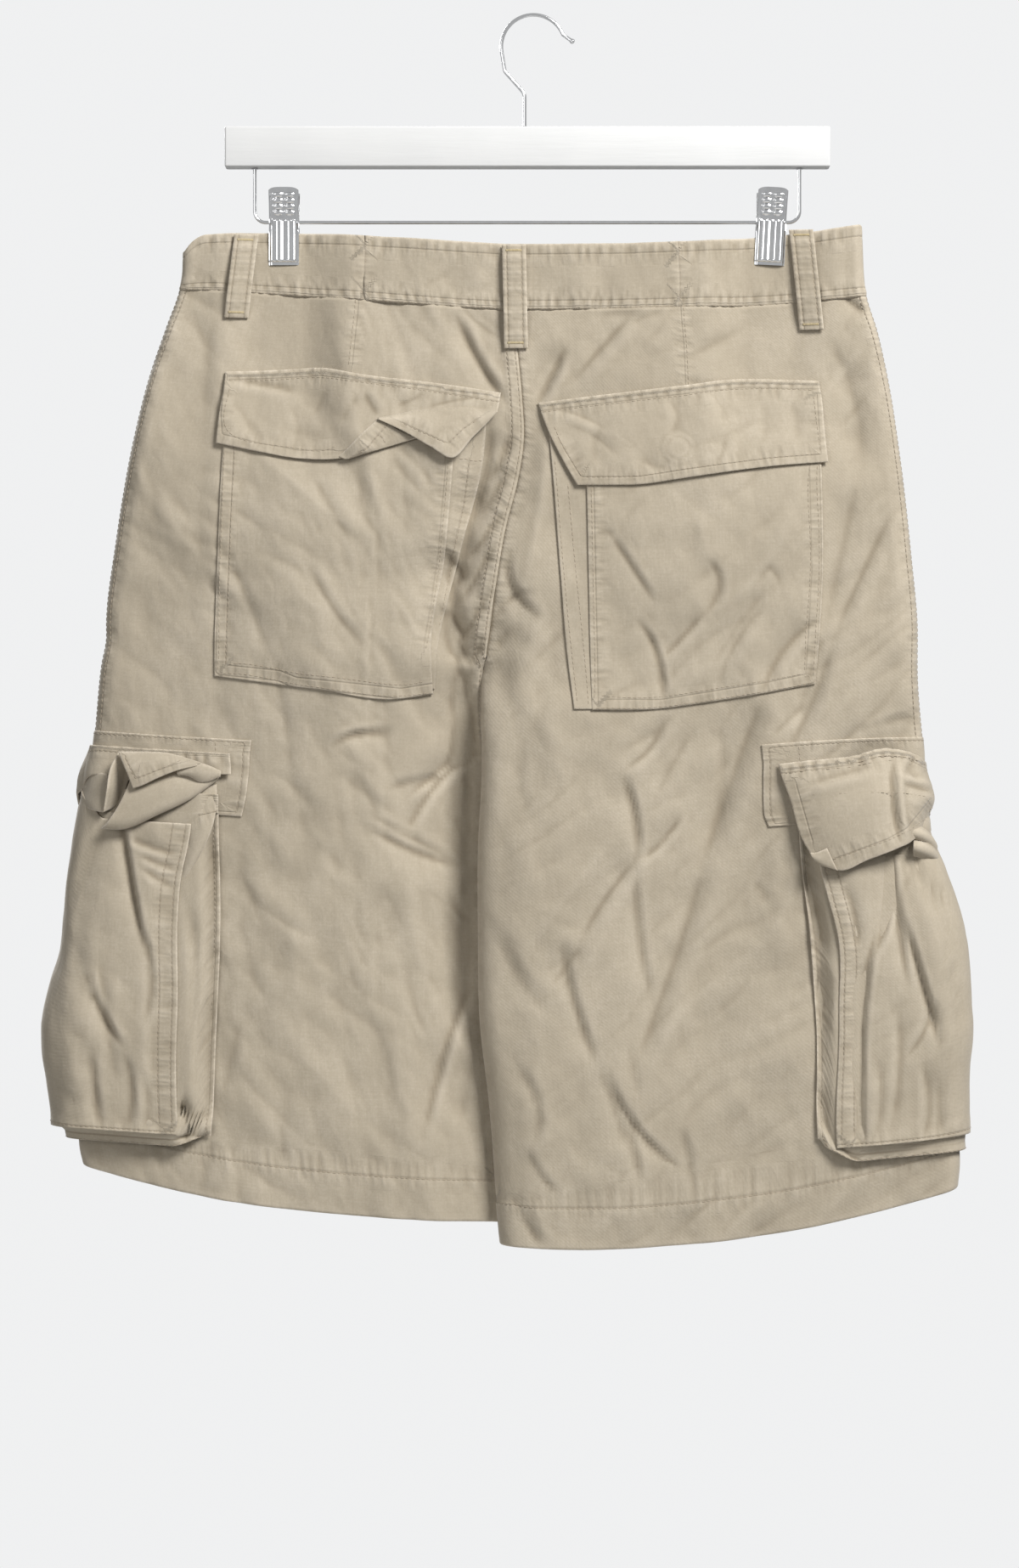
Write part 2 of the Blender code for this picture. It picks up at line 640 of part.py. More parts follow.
def hook_path():
    """Up from the bar, bent aside, over the top and out to the tip."""
    start = math.radians(HOOK_FROM)
    centre = np.array([0.0, HOOK_CENTRE_Z])
    left = centre + HOOK_RADIUS * np.array([math.cos(start), math.sin(start)])
    below = left + 12.5 * np.array([-math.sin(start), math.cos(start)])
    bar_top = BAR_CENTRE[2] + BAR_SIZE[2] / 2
    path = round_corners(
        [
            (SHANK_X, bar_top - SHANK_DEPTH, 0),
            (SHANK_X, -48.5, 6),
            (below[0], below[1], 5),
            (left[0], left[1], 0),
        ]
    )
    turns = 16
    for k in range(1, turns + 1):
        angle = math.radians(HOOK_FROM + (HOOK_TO - HOOK_FROM) * k / turns)
        path.append(centre + HOOK_RADIUS * np.array([math.cos(angle), math.sin(angle)]))
    tip = np.array(HOOK_TIP)
    out = (tip - path[-1]) / np.linalg.norm(tip - path[-1])
    path += [tip - out * 2.4, tip - out * 1.0, tip]
    return path


def box(name, size, centre, material):
    """A block with its scale applied."""
    mesh = bmesh.new()
    bmesh.ops.create_cube(mesh, size=1)
    bmesh.ops.scale(mesh, vec=[s * MM for s in size], verts=mesh.verts[:])
    bmesh.ops.translate(mesh, vec=[c * MM for c in centre], verts=mesh.verts[:])
    return finish(name, mesh, material)


def drill(target, name, radius, centre, length, axis="Z"):
    """Cuts a round bore."""
    mesh = bmesh.new()
    bmesh.ops.create_cone(
        mesh, cap_ends=True, segments=16, radius1=radius * MM, radius2=radius * MM,
        depth=length * MM,
    )
    data = bpy.data.meshes.new(name)
    mesh.to_mesh(data)
    mesh.free()
    cutter = bpy.data.objects.new(name, data)
    cutter.location = [c * MM for c in centre]
    if axis == "X":
        cutter.rotation_euler = (0, math.radians(90), 0)
    cutter.hide_render = True
    cutter.display_type = "WIRE"
    CUTTERS.objects.link(cutter)
    cut = target.modifiers.new(name, "BOOLEAN")
    cut.operation = "DIFFERENCE"
    cut.object = cutter


def hanger(wood, chrome):
    """The wooden bar, its hook, and the wire frame that carries the clips."""
    bar = box("hanger_bar", BAR_SIZE, BAR_CENTRE, wood)
    edge = bar.modifiers.new("rounded edges", "BEVEL")
    edge.width = BAR_EDGE * MM
    edge.segments = 2
    top = BAR_CENTRE[2] + BAR_SIZE[2] / 2
    bottom = BAR_CENTRE[2] - BAR_SIZE[2] / 2
    drill(bar, "hook_bore", HOOK_WIRE + GAP, (SHANK_X, 0, top), 2 * (SHANK_DEPTH + GAP))
    for side, x in zip(("left", "right"), FRAME_X):
        drill(bar, f"stem_bore_{side}", FRAME_WIRE + GAP, (x, 0, bottom), 2 * (STEM_DEPTH + GAP))
    wire("hanger_hook", hook_path(), HOOK_WIRE, chrome, tip=1.5)
    left, right = FRAME_X
    path = round_corners(
        [
            (left, bottom + STEM_DEPTH, 0),
            (left, FRAME_Z, FRAME_BEND),
            (right, FRAME_Z, FRAME_BEND),
            (right, bottom + STEM_DEPTH, 0),
        ]
    )
    wire("hanger_wire", path, FRAME_WIRE, chrome)


def clip_jaw(side, face, chrome):
    """A pressed plate whose side flanges turn in round the pivot."""
    sign = -1 if face == "back" else 1
    half = CLIP_WIDTH / 2 - CLIP_SHEET / 2
    across = (-half, -half + CLIP_EDGE, 0, half - CLIP_EDGE, half)
    mesh = bmesh.new()
    bmesh.ops.create_grid(mesh, x_segments=len(across) - 1, y_segments=len(JAW) - 1, size=1)
    for vert in mesh.verts:
        column = round((vert.co.x + 1) / 2 * (len(across) - 1))
        height, stand, flange = JAW[round((vert.co.y + 1) / 2 * (len(JAW) - 1))]
        turn_in = flange if column in (0, len(across) - 1) else 0
        y = sign * (stand - turn_in + CLIP_SHEET / 2)
        vert.co = ((CLIP_X[side] + across[column]) * MM, y * MM, (FRAME_Z + height) * MM)
    obj = finish(f"clip_{side}_{face}_jaw", mesh, chrome)
    sheet_metal = obj.modifiers.new("sheet", "SOLIDIFY")
    sheet_metal.thickness = CLIP_SHEET * MM
    sheet_metal.offset = 0
    sheet_metal.use_even_offset = True


def clip_spring(side, chrome):
    """The sleeve of the clip's spring, round the wire and between the jaws."""
    mesh = bmesh.new()
    bmesh.ops.create_cone(
        mesh, cap_ends=True, segments=16, radius1=SPRING_RADIUS * MM, radius2=SPRING_RADIUS * MM,
        depth=SPRING_LENGTH * MM,
    )
    centre = (CLIP_X[side], 0, FRAME_Z)
    bmesh.ops.transform(mesh, matrix=Matrix.Rotation(math.pi / 2, 4, "Y"), verts=mesh.verts[:])
    bmesh.ops.translate(mesh, vec=[c * MM for c in centre], verts=mesh.verts[:])
    obj = finish(f"clip_{side}_spring", mesh, chrome)
    drill(obj, f"spring_bore_{side}", SPRING_BORE, centre, SPRING_LENGTH + 4, axis="X")


for old in list(bpy.data.objects):
    bpy.data.objects.remove(old)
PARTS = bpy.data.collections.new("cargo_shorts")
CUTTERS = bpy.data.collections.new("cutters")
for collection in (PARTS, CUTTERS):
    bpy.context.scene.collection.children.link(collection)

TWILL_CLOTH = make_material("khaki_twill", (0.48, 0.41, 0.32), 0.95)
PAINTED_WOOD = make_material("white_painted_wood", (0.86, 0.86, 0.84), 0.45)
CHROME = make_material("chrome", (0.72, 0.72, 0.72), 0.18, 1.0)
HORN = make_material("button_resin", (0.36, 0.28, 0.19), 0.4)

for leg_side in LEGS:
    panel(leg_side, "back", TWILL_CLOTH)
    panel(leg_side, "front", TWILL_CLOTH)
    back_pocket(leg_side, TWILL_CLOTH)
    cargo_pocket(leg_side, TWILL_CLOTH)
waistband(TWILL_CLOTH)
belt_loops(TWILL_CLOTH)
fly(TWILL_CLOTH, HORN)
hanger(PAINTED_WOOD, CHROME)
for clip_side in CLIP_X:
    clip_jaw(clip_side, "back", CHROME)
    clip_jaw(clip_side, "front", CHROME)
    clip_spring(clip_side, CHROME)
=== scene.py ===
"""Washed khaki cargo shorts on a wooden clip hanger, dressed over their solid model.

Sizes are in millimetres until a mesh is written. The garment's back faces -Y, Z is up.
"""
import math

import bmesh
import bpy
import numpy as np
from mathutils import Matrix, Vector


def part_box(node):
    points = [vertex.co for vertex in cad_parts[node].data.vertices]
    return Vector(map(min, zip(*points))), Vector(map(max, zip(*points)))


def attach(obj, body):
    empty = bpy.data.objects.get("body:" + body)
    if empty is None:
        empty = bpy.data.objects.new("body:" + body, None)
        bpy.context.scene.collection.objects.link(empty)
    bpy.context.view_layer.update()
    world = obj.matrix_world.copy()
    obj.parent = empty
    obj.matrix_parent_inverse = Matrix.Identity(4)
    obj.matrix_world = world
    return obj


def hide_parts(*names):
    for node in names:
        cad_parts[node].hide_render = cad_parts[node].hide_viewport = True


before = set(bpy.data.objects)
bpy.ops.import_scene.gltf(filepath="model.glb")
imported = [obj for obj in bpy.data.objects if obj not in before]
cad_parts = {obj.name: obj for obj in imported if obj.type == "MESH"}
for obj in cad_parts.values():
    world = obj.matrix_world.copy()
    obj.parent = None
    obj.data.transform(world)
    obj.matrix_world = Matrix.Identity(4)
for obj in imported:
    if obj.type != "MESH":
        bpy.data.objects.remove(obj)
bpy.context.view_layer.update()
MM = 0.001

# ---- Trouser panels ----
# Two backs and two fronts of cotton twill, felled together at the centre, sides and inside leg,
# with a doubled hem. They hang from the waistband, and their cut gives every other piece its place.
# A leg is laid out on lines that run down it: side seam, pocket's outer and inner edge, end of the
# strip beside it, centre. A row lists a height for four of them and an x for four.


def table(text):
    """Rows of numbers, one to a line. Commas join the numbers of one point."""
    rows = (line.replace(",", " ").split() for line in text.split("\n") if line)
    return [[float(value) for value in row] for row in rows]


def named_rows(text):
    """Rows of numbers by the name that each line starts with."""
    rows = (line.split() for line in text.split("\n") if line)
    return {name: [float(value) for value in values] for name, *values in rows}


LINES = ("z_side", "z_out", "z_in", "z_centre", "x_side", "x_out", "x_face", "x_in")
LEFT_ROWS = named_rows("""
band_top -139 -137 -143 -144 -219 -193 -68 -36
waist -172 -173 -184 -185 -222 -193 -68 -36
yoke -195 -200 -209 -210 -230 -193 -58 -28
flap_top -221 -225 -239 -242 -239 -194 -44 -20
flap_low -263 -269 -281 -294 -250 -198 -50 -32
pocket_mid -331 -338 -350 -355 -262 -198 -56 -49
fork -382 -389 -399 -402 -268 -199 -60 -56
crotch -391 -398 -408 -411 -268 -199 -61 -57
pocket_low -408 -415 -426 -431 -271 -199 -62 -56
patch_top -449 -454 -466 -470 -275 -198 -64 -54
cargo_top -458 -463 -476 -480 -276 -196 -65 -53
pouch_top -484 -489 -502 -506 -277 -195 -65 -52
patch_low -497 -502 -516 -520 -278 -195 -66 -52
cargo_mid -566 -573 -587 -591 -281 -194 -68 -51
cargo_deep -636 -642 -656 -660 -284 -197 -68 -50
cargo_fold -696 -702 -717 -722 -285 -200 -68 -47
cargo_low -704 -710 -727 -732 -285 -201 -68 -44
hem -722 -741 -757 -758 -282 -202 -68 -42
""")
RIGHT_ROWS = named_rows("""
band_top -131 -135 -144 -144 206 180 52 17
waist -176 -179 -185 -185 209 180 52 17
yoke -199 -204 -210 -210 216 180 44 11
flap_top -226 -230 -244 -242 222 179 33 3
flap_low -277 -281 -297 -294 230 183 30 14
pocket_mid -339 -345 -358 -355 237 181 34 17
fork -386 -391 -405 -402 241 179 35 21
crotch -394 -400 -414 -411 241 178 36 22
pocket_low -415 -421 -437 -439 241 176 36 25
patch_top -453 -456 -470 -474 244 169 35 14
cargo_top -465 -468 -484 -487 245 167 34 11
pouch_top -496 -500 -516 -520 243 164 33 6
patch_low -505 -508 -525 -530 243 164 32 4
cargo_mid -572 -577 -597 -603 254 171 28 -4
cargo_deep -628 -634 -655 -661 261 175 27 -5
cargo_fold -702 -710 -733 -738 266 176 26 -5
cargo_low -712 -720 -744 -748 267 177 26 -5
hem -736 -759 -772 -771 266 176 26 -5
""")
ROW = {name: index for index, name in enumerate(LEFT_ROWS)}
LAST = len(ROW) - 1
# The centre seam, then each leg's inner edge: height, x on the left and right leg, half the depth
# there, and how far the left leg's edge lies in and the right one's out
CENTRE_COLUMNS = ("z", "left", "right", "half", "shift")
CENTRE = table("""
-144 -12 -12 9 0
-185 -12 -12 10 0
-210 -10 -10 12 0
-242 -7 -7 14 0
-267 -6 -6 15 0
-294 -10 -10 16.5 0
-321 -17 -17 17.5 0
-355 -23 -23 17 0
-402 -29.5 -30 11 0
-411 -30 -32 8.5 1
-439 -29.5 -33 5 7.5
-470 -26 -32.5 4 10
-524 -27 -35 4 10
-577 -27 -35 4 9
-630 -26 -34 4 7
-684 -21 -28 4 5.5
-737 -18 -24 4 4.5
-780 -16 -20 4 4.5
""")
# How full it hangs: height, radius of the side fold, half depth of the back and front
DEPTH_COLUMNS = ("z", "fold", "back", "front")
DEPTH = table("""
-130 6 9 9
-175 6 10 9
-230 9 15 12
-300 11 21 15
-411 11 20 16
-500 10 18 16
-640 10 17 15
-780 9 16 14
""")
# Creases: the start, bend and end of each one's line (x and z), how deep it is pressed in, its half
# width, and how high the cloth rides up beside it, on the right of the line or, minus, on the left
CREASES = {
    "back": table("""
-13,-259 -20,-281 -32,-296 3.7 1.4 -0.6
-14,-282 -26,-305 -39,-320 4 1.5 -0.6
-17,-308 -32,-331 -47,-347 4 1.5 -0.6
-22,-325 -38,-358 -56,-376 4.3 1.6 -0.6
-25,-358 -41,-386 -59,-406 4 1.6 -0.6
-28,-382 -38,-408 -51,-440 4.7 1.6 -0.6
-50,-183 -35,-217 -14,-248 5 1.6 -1.3
-48,-180 -33,-195 -18,-204 1.2 1.2 -0.1
-72,-171 -60,-166 -49,-160 1.6 1.4 -0.3
-46,-174 -36,-172 -26,-171 1.2 1.2 -0.3
-193,-168 -203,-203 -207,-281 2.2 4.5 -0.1
-206,-255 -208,-321 -212,-386 1.8 5.2 -0.1
-182,-192 -172,-180 -154,-171 1.4 1.2 0.4
-174,-199 -180,-217 -189,-230 1.2 1.9 -0.1
-142,-284 -126,-310 -113,-339 1.6 2.2 -0.3
-100,-274 -94,-315 -88,-367 -1.4 3.8 0
-85,-276 -79,-310 -83,-343 1.2 2.5 -0.1
-143,-340 -126,-371 -104,-399 1.7 1.5 -0.4
-199,-323 -179,-366 -159,-411 3.4 3.8 -0.1
-165,-394 -155,-443 -149,-493 3.6 3.8 -0.1
-152,-475 -142,-524 -146,-569 2.8 6 -0.1
-28,-250 -30,-289 -43,-328 7.8 2.4 -0.1
-30,-280 -42,-331 -54,-386 13.3 4.5 -0.6
-58,-324 -51,-363 -53,-409 9.8 4.5 -0.1
-54,-360 -47,-411 -34,-471 11.2 4.9 -0.1
-53,-334 -49,-346 -40,-357 4 1.6 -0.1
-61,-368 -50,-383 -41,-393 4.7 1.6 -0.1
-48,-389 -42,-404 -33,-422 4 1.6 -0.1
-12,-332 -14,-358 8,-382 3.4 1.4 -0.6
-19,-373 -10,-364 2,-366 1.4 1.1 -0.1
6,-250 5,-302 -10,-376 -4.2 3.4 0
-18,-368 -23,-378 -32,-389 1.2 1.2 -0.1
-13,-385 -18,-391 -22,-402 1.1 1.2 -0.1
21,-207 12,-227 1,-249 4 1.5 -1
67,-185 50,-202 20,-237 2.5 1.9 -0.6
84,-188 73,-189 58,-196 1.2 1.2 0.1
87,-220 116,-205 157,-181 1.9 2.2 -0.4
34,-190 54,-188 76,-188 1.1 1.2 -0.1
92,-227 108,-232 129,-228 1.1 1.1 -0.1
107,-305 105,-331 115,-357 -1.8 3.8 0
105,-340 116,-358 104,-380 2.3 1.4 -0.5
108,-373 95,-389 77,-407 2.3 1.2 -0.5
45,-322 60,-345 78,-373 2 1.1 -0.5
36,-326 45,-325 51,-329 0.9 1 -0.1
61,-377 77,-401 82,-441 2.8 1 -0.6
137,-363 147,-348 156,-363 1.2 1.2 -0.1
152,-353 129,-382 105,-421 1.6 2.5 -0.4
149,-369 127,-393 114,-430 1.6 1.9 -0.4
182,-377 155,-401 142,-432 5.3 2 -1
148,-415 125,-478 102,-544 5.9 3.4 -1.6
110,-520 90,-588 58,-671 5.9 3.3 -1.6
178,-195 201,-241 205,-300 4.8 5.2 -0.1
206,-278 193,-337 180,-398 5.3 4.5 -0.9
184,-380 172,-417 166,-449 3.1 2.5 -0.1
227,-306 203,-358 185,-397 3.7 2.2 -0.7
190,-382 177,-425 155,-470 3.7 2.1 -0.6
191,-172 202,-182 215,-189 2.8 1.2 -0.5
219,-235 225,-267 226,-300 1.4 3.8 -0.1
214,-447 230,-441 245,-443 1.9 1.1 -0.4
202,-452 209,-447 219,-445 1.2 1.1 -0.1
146,-455 159,-443 171,-430 1.6 1.5 0.3
-37,-403 -41,-481 -40,-559 7 5.2 -0.1
-40,-534 -42,-593 -51,-645 7 4.9 -0.1
-32,-602 -53,-642 -70,-713 5 1.4 -1
-36,-647 -42,-676 -46,-702 2.8 3.8 -0.1
-32,-444 -50,-465 -83,-494 5.3 1.4 -0.7
-24,-458 -58,-479 -82,-520 5 1.4 -0.7
-127,-459 -105,-450 -83,-450 1.9 1.1 -0.5
-96,-487 -76,-481 -48,-479 2.2 1.4 -0.5
-112,-505 -74,-525 -41,-535 3.4 1.2 -0.6
-105,-499 -79,-515 -41,-535 2.3 1.4 -0.5
-141,-429 -135,-455 -117,-473 1.7 3.8 -0.1
-114,-468 -103,-490 -92,-514 2.2 2.5 -0.1
-126,-462 -115,-452 -87,-453 2.2 1 -0.5
-144,-555 -123,-614 -114,-666 2.5 6 -0.1
-118,-649 -108,-694 -95,-732 2.4 4.5 -0.1
-102,-615 -93,-652 -87,-701 1.7 3.8 -0.1
-187,-526 -178,-548 -171,-570 1.4 1.5 -0.1
-185,-563 -176,-596 -174,-625 1.2 1.9 -0.1
-184,-625 -188,-652 -197,-687 1.4 1.5 -0.3
-158,-690 -156,-708 -152,-724 1.2 1.2 -0.1
-70,-569 -65,-598 -69,-631 1.1 3.8 -0.1
-94,-540 -84,-566 -72,-586 1.1 2.5 -0.1
-146,-559 -150,-588 -146,-620 -1.6 2.5 0
54,-472 64,-505 64,-536 4 1.2 -0.8
82,-439 73,-460 52,-476 2.3 1.4 -0.5
64,-519 66,-574 77,-629 2.9 1.2 -0.6
70,-523 43,-557 26,-589 3.4 2 -0.7
31,-580 21,-596 9,-611 2.5 1.9 -0.1
104,-443 87,-470 72,-503 1.9 2.1 -0.4
95,-497 80,-519 62,-532 2.2 1.2 -0.5
110,-432 119,-473 107,-535 2.2 1.9 -0.1
-38,-558 -16,-592 12,-635 3.1 3.8 -0.9
-34,-543 -14,-580 10,-615 -2 3.8 0
17,-575 26,-620 43,-665 4 1.4 -0.8
38,-651 50,-684 62,-719 2.2 1.4 -0.5
46,-654 61,-693 96,-725 3.7 1.2 -0.8
58,-638 63,-662 68,-684 1.4 1.4 -0.1
58,-689 63,-710 68,-736 2.8 1.1 -0.6
-17,-650 3,-684 -4,-714 2.3 1.5 -0.5
-5,-705 4,-725 19,-740 1.9 1.2 -0.5
-34,-710 -28,-689 -16,-674 1.4 1.2 0.3
91,-693 96,-710 100,-736 2 1.4 -0.4
123,-571 119,-630 115,-696 1.3 4.5 -0.1
136,-543 143,-548 147,-559 1.1 1.1 -0.1
-16,-460 -9,-484 1,-505 1.2 2.5 -0.1
-17,-733 -4,-756 7,-776 4 2.1 -1
-27,-735 -17,-739 -11,-748 2.5 1.5 -0.1
147,-490 153,-556 160,-615 -1.4 5.2 0
31,-748 70,-750 116,-741 -0.7 3.8 0
-256,-273 -250,-363 -256,-441 -1.7 6.8 0
-225,-223 -231,-289 -229,-379 -1.4 6.8 0
233,-312 226,-363 231,-429 -1.4 4.5 0
8,-408 12,-460 5,-511 -1.1 6 0
"""),
    "front": table("""
-130,-300 -95,-345 -45,-395 2.6 4 1.4
-60,-300 -52,-350 -40,-395 1.6 3 -1
110,-290 70,-350 15,-400 2.8 4 -1.4
45,-300 30,-350 5,-395 1.5 3 1
-170,-430 -150,-540 -120,-650 -2.6 11 0
-85,-440 -92,-560 -98,-700 2.8 8 1.2
-60,-520 -55,-600 -62,-690 1.4 5 0
128,-500 112,-580 92,-670 3.2 7 -1.6
62,-470 52,-580 45,-700 -2.6 9 0
20,-440 12,-520 16,-640 1.6 6 0.8
-205,-230 -215,-300 -222,-380 1.6 7 0
190,-230 205,-300 212,-390 1.8 7 0
-120,-205 -100,-240 -60,-262 1.2 3 0.8
100,-205 78,-245 50,-265 1.3 3 -0.8
-35,-190 -30,-230 -33,-290 1 3 0
25,-190 18,-240 20,-300 1 3.5 0
-150,-240 -140,-290 -150,-350 1.1 5 0.6
150,-235 138,-300 148,-360 1.1 5 -0.6
-40,-430 -70,-470 -110,-500 1.6 3 -0.8
0,-425 35,-460 90,-480 1.8 3 0.9
-190,-560 -184,-620 -176,-690 1 5 0
170,-560 160,-630 150,-700 1 5 0
"""),
}
CLIP_X = {"left": -156.7, "right": 149.5}
PINCH_HALF_DEPTH, PINCH_HALF_WIDTH, PINCH_FADE = 2.0, 12.0, 33.0
PINCH_TOP, PINCH_END = -160.0, -330.0
FLY_WIDTH, FLY_STRIP = 40.0, 16.0
TWILL = 1.2
HEM = 27.0
# How much thicker the right leg's inner edge is, which hangs in front of the left one's
OVERLAP = 9.0
# The share of a leg's width that stays full where the legs part
KEPT_FULL = {"left": 0.78, "right": 0.88}


def curve_through(xs, ys, at):
    """A smooth curve through table points, xs rising. ys may hold a column for each place."""
    xs, ys = np.asarray(xs, float), np.asarray(ys, float)
    gaps = np.diff(xs) if ys.ndim == 1 else np.diff(xs)[:, None]
    rates = np.diff(ys, axis=0) / gaps
    middle = (rates[:-1] * gaps[1:] + rates[1:] * gaps[:-1]) / (gaps[:-1] + gaps[1:])
    slopes = np.concatenate([rates[:1], middle, rates[-1:]])
    at = np.clip(at, xs[0], xs[-1])
    index = np.clip(np.searchsorted(xs, at) - 1, 0, len(xs) - 2)
    step = xs[index + 1] - xs[index]
    t = (at - xs[index]) / step
    here = (index,) if ys.ndim == 1 else (index, np.arange(ys.shape[1]))
    following = (index + 1, *here[1:])
    ends = ys[here] * (1 + 2 * t) * (1 - t) ** 2 + ys[following] * t**2 * (3 - 2 * t)
    return ends + step * (slopes[here] * t * (1 - t) ** 2 - slopes[following] * t**2 * (1 - t))


def smooth(t):
    """0 to 1 with level ends."""
    t = np.clip(t, 0, 1)
    return t * t * (3 - 2 * t)


def bump(distance, width):
    """A soft hump, 1 at its middle."""
    return np.exp(-((distance / width) ** 2))


def unit(vectors):
    """Vectors at length 1."""
    return vectors / np.maximum(np.linalg.norm(vectors, axis=-1, keepdims=True), 1e-9)


def added_up(lengths):
    """Lengths added up one by one, from 0."""
    return np.concatenate([[0], np.cumsum(lengths)])


def by_height(rows, columns):
    """A table's columns as functions of z, read from the bottom row up."""
    rows = np.array(sorted(rows))
    return {name: (rows[:, 0], rows[:, k]) for k, name in enumerate(columns)}


CENTRE_BY_Z = by_height(CENTRE, CENTRE_COLUMNS)
DEPTH_BY_Z = by_height(DEPTH, DEPTH_COLUMNS)


def nearest(path, x, z):
    """Signed distance to a path (to its right is positive), and how far along it, in its units."""
    path = np.asarray(path, float)
    best, side, along = np.full(np.shape(x), 1e9), np.ones(np.shape(x)), np.zeros(np.shape(x))
    done = 0.0
    for (x0, z0), (x1, z1) in zip(path, path[1:]):
        run = math.hypot(x1 - x0, z1 - z0)
        if run < 1e-9:
            continue
        t = np.clip(((x - x0) * (x1 - x0) + (z - z0) * (z1 - z0)) / run**2, 0, 1)
        away = np.hypot(x - x0 - t * (x1 - x0), z - z0 - t * (z1 - z0))
        closer = away < best
        turn = (z - z0) * (x1 - x0) - (x - x0) * (z1 - z0)
        best = np.where(closer, away, best)
        side = np.where(closer, np.where(turn > 0, -1.0, 1.0), side)
        along = np.where(closer, done + t * run, along)
        done += run
    return best * side, along, done


def pressed(creases, x, z):
    """The height of these creases over smooth cloth."""
    total = np.zeros(np.shape(x))
    for x0, z0, xb, zb, x1, z1, deep, narrow, rise in creases:
        t = np.linspace(0, 1, 9)[:, None]
        # The bend point lies on the line, half way along it
        mid = 2 * np.array([xb, zb]) - (np.array([x0, z0]) + np.array([x1, z1])) / 2
        path = (1 - t) ** 2 * [x0, z0] + 2 * t * (1 - t) * mid + t**2 * [x1, z1]
        reach = 10 * narrow
        near = (x > path[:, 0].min() - reach) & (x < path[:, 0].max() + reach)
        near &= (z > path[:, 1].min() - reach) & (z < path[:, 1].max() + reach)
        if not near.any():
            continue
        away, along, whole = nearest(path, x[near], z[near])
        t = along / whole
        fade = smooth(t / 0.35) * smooth((1 - t) / 0.35)
        # Sharp at the line, steep on the side where the cloth rides up and gentle on the other
        lean = 1.0 if rise >= 0 else -1.0
        flank = np.where(away * lean > 0, 1.9, 4.2) * narrow
        shape = -deep * np.exp(-np.sqrt((away / flank) ** 2 + 0.012))
        shape = shape + abs(rise) * bump(away - lean * 3.2 * narrow, 2.2 * narrow)
        total[near] += shape * fade
    return total


def lattice_noise(seed, x, z):
    """Soft uneven values over a plane, a new one about every unit."""
    dice = np.random.default_rng(seed)
    values = dice.standard_normal((256, 256))
    total = np.zeros(np.shape(x))
    column, row = np.floor(x).astype(int), np.floor(z).astype(int)
    a, b = x - column, z - row

    def weights(t):
        return ((1 - t) ** 3 / 6, (3 * t**3 - 6 * t**2 + 4) / 6,
                (-3 * t**3 + 3 * t**2 + 3 * t + 1) / 6, t**3 / 6)

    for i, up in enumerate(weights(b)):
        for j, over in enumerate(weights(a)):
            total += up * over * values[(row + i) % 256, (column + j) % 256]
    return total


# The cloth's own unevenness: width and length of its swellings, the way they run (degrees from
# upright), their height, and whether they are soft, creased in or creased out
SWELLINGS = (
    (58, 130, 4, 5.2, "soft"),
    (40, 105, 24, 5.0, "in"),
    (38, 100, -26, 5.0, "in"),
    (22, 60, 34, 2.7, "out"),
    (21, 56, -34, 2.7, "out"),
    (13, 34, 12, 1.4, "in"),
    (9, 24, 48, 1.0, "in"),
    (9, 22, -52, 1.0, "in"),
    (5, 12, 20, 0.5, "out"),
)


def rumple(seed, x, z):
    """Swellings and creases of several sizes laid over each other."""
    total = np.zeros(np.shape(x))
    bent_x = x + 9 * lattice_noise(seed, x / 55, z / 70)
    bent_z = z + 9 * lattice_noise(seed + 1, x / 55, z / 70)
    for index, (wide, long, turn, height, kind) in enumerate(SWELLINGS):
        c, s = math.cos(math.radians(turn)), math.sin(math.radians(turn))
        across, along = bent_x * c + bent_z * s, bent_z * c - bent_x * s
        value = lattice_noise(seed + 2 + index, across / wide + 40, along / long + 40)
        if kind != "soft":
            value = (np.sqrt(value**2 + 0.004) - 0.4) * (1 if kind == "in" else -1)
        # Each leg's folds run down and inwards, away from its hip
        own_side = smooth(0.5 - (x + 15) * np.sign(turn) / 160)
        total += height * value * (0.35 + 0.65 * own_side)
    return total


MAP_X, MAP_Z = (-310, 300), (-800, -120)
RELIEF = {}
for face_name, face_seed in (("back", 70), ("front", 190)):
    map_x, map_z = np.meshgrid(np.arange(*MAP_X, dtype=float), np.arange(*MAP_Z, dtype=float))
    # The yoke hangs smoother than the legs
    fullness = 0.75 + 0.25 * smooth((-map_z - 200) / 220)
    RELIEF[face_name] = rumple(face_seed, map_x, map_z) * fullness
    RELIEF[face_name] += pressed(CREASES[face_name], map_x, map_z)


def relief(face, x, z):
    """The cloth's creases and swellings at a place, read from the map."""
    chart = RELIEF[face]
    column = np.clip(x - MAP_X[0], 0, chart.shape[1] - 1.001)
    row = np.clip(z - MAP_Z[0], 0, chart.shape[0] - 1.001)
    i, j = row.astype(int), column.astype(int)
    a, b = row - i, column - j
    top = chart[i, j] * (1 - b) + chart[i, j + 1] * b
    return top * (1 - a) + (chart[i + 1, j] * (1 - b) + chart[i + 1, j + 1] * b) * a


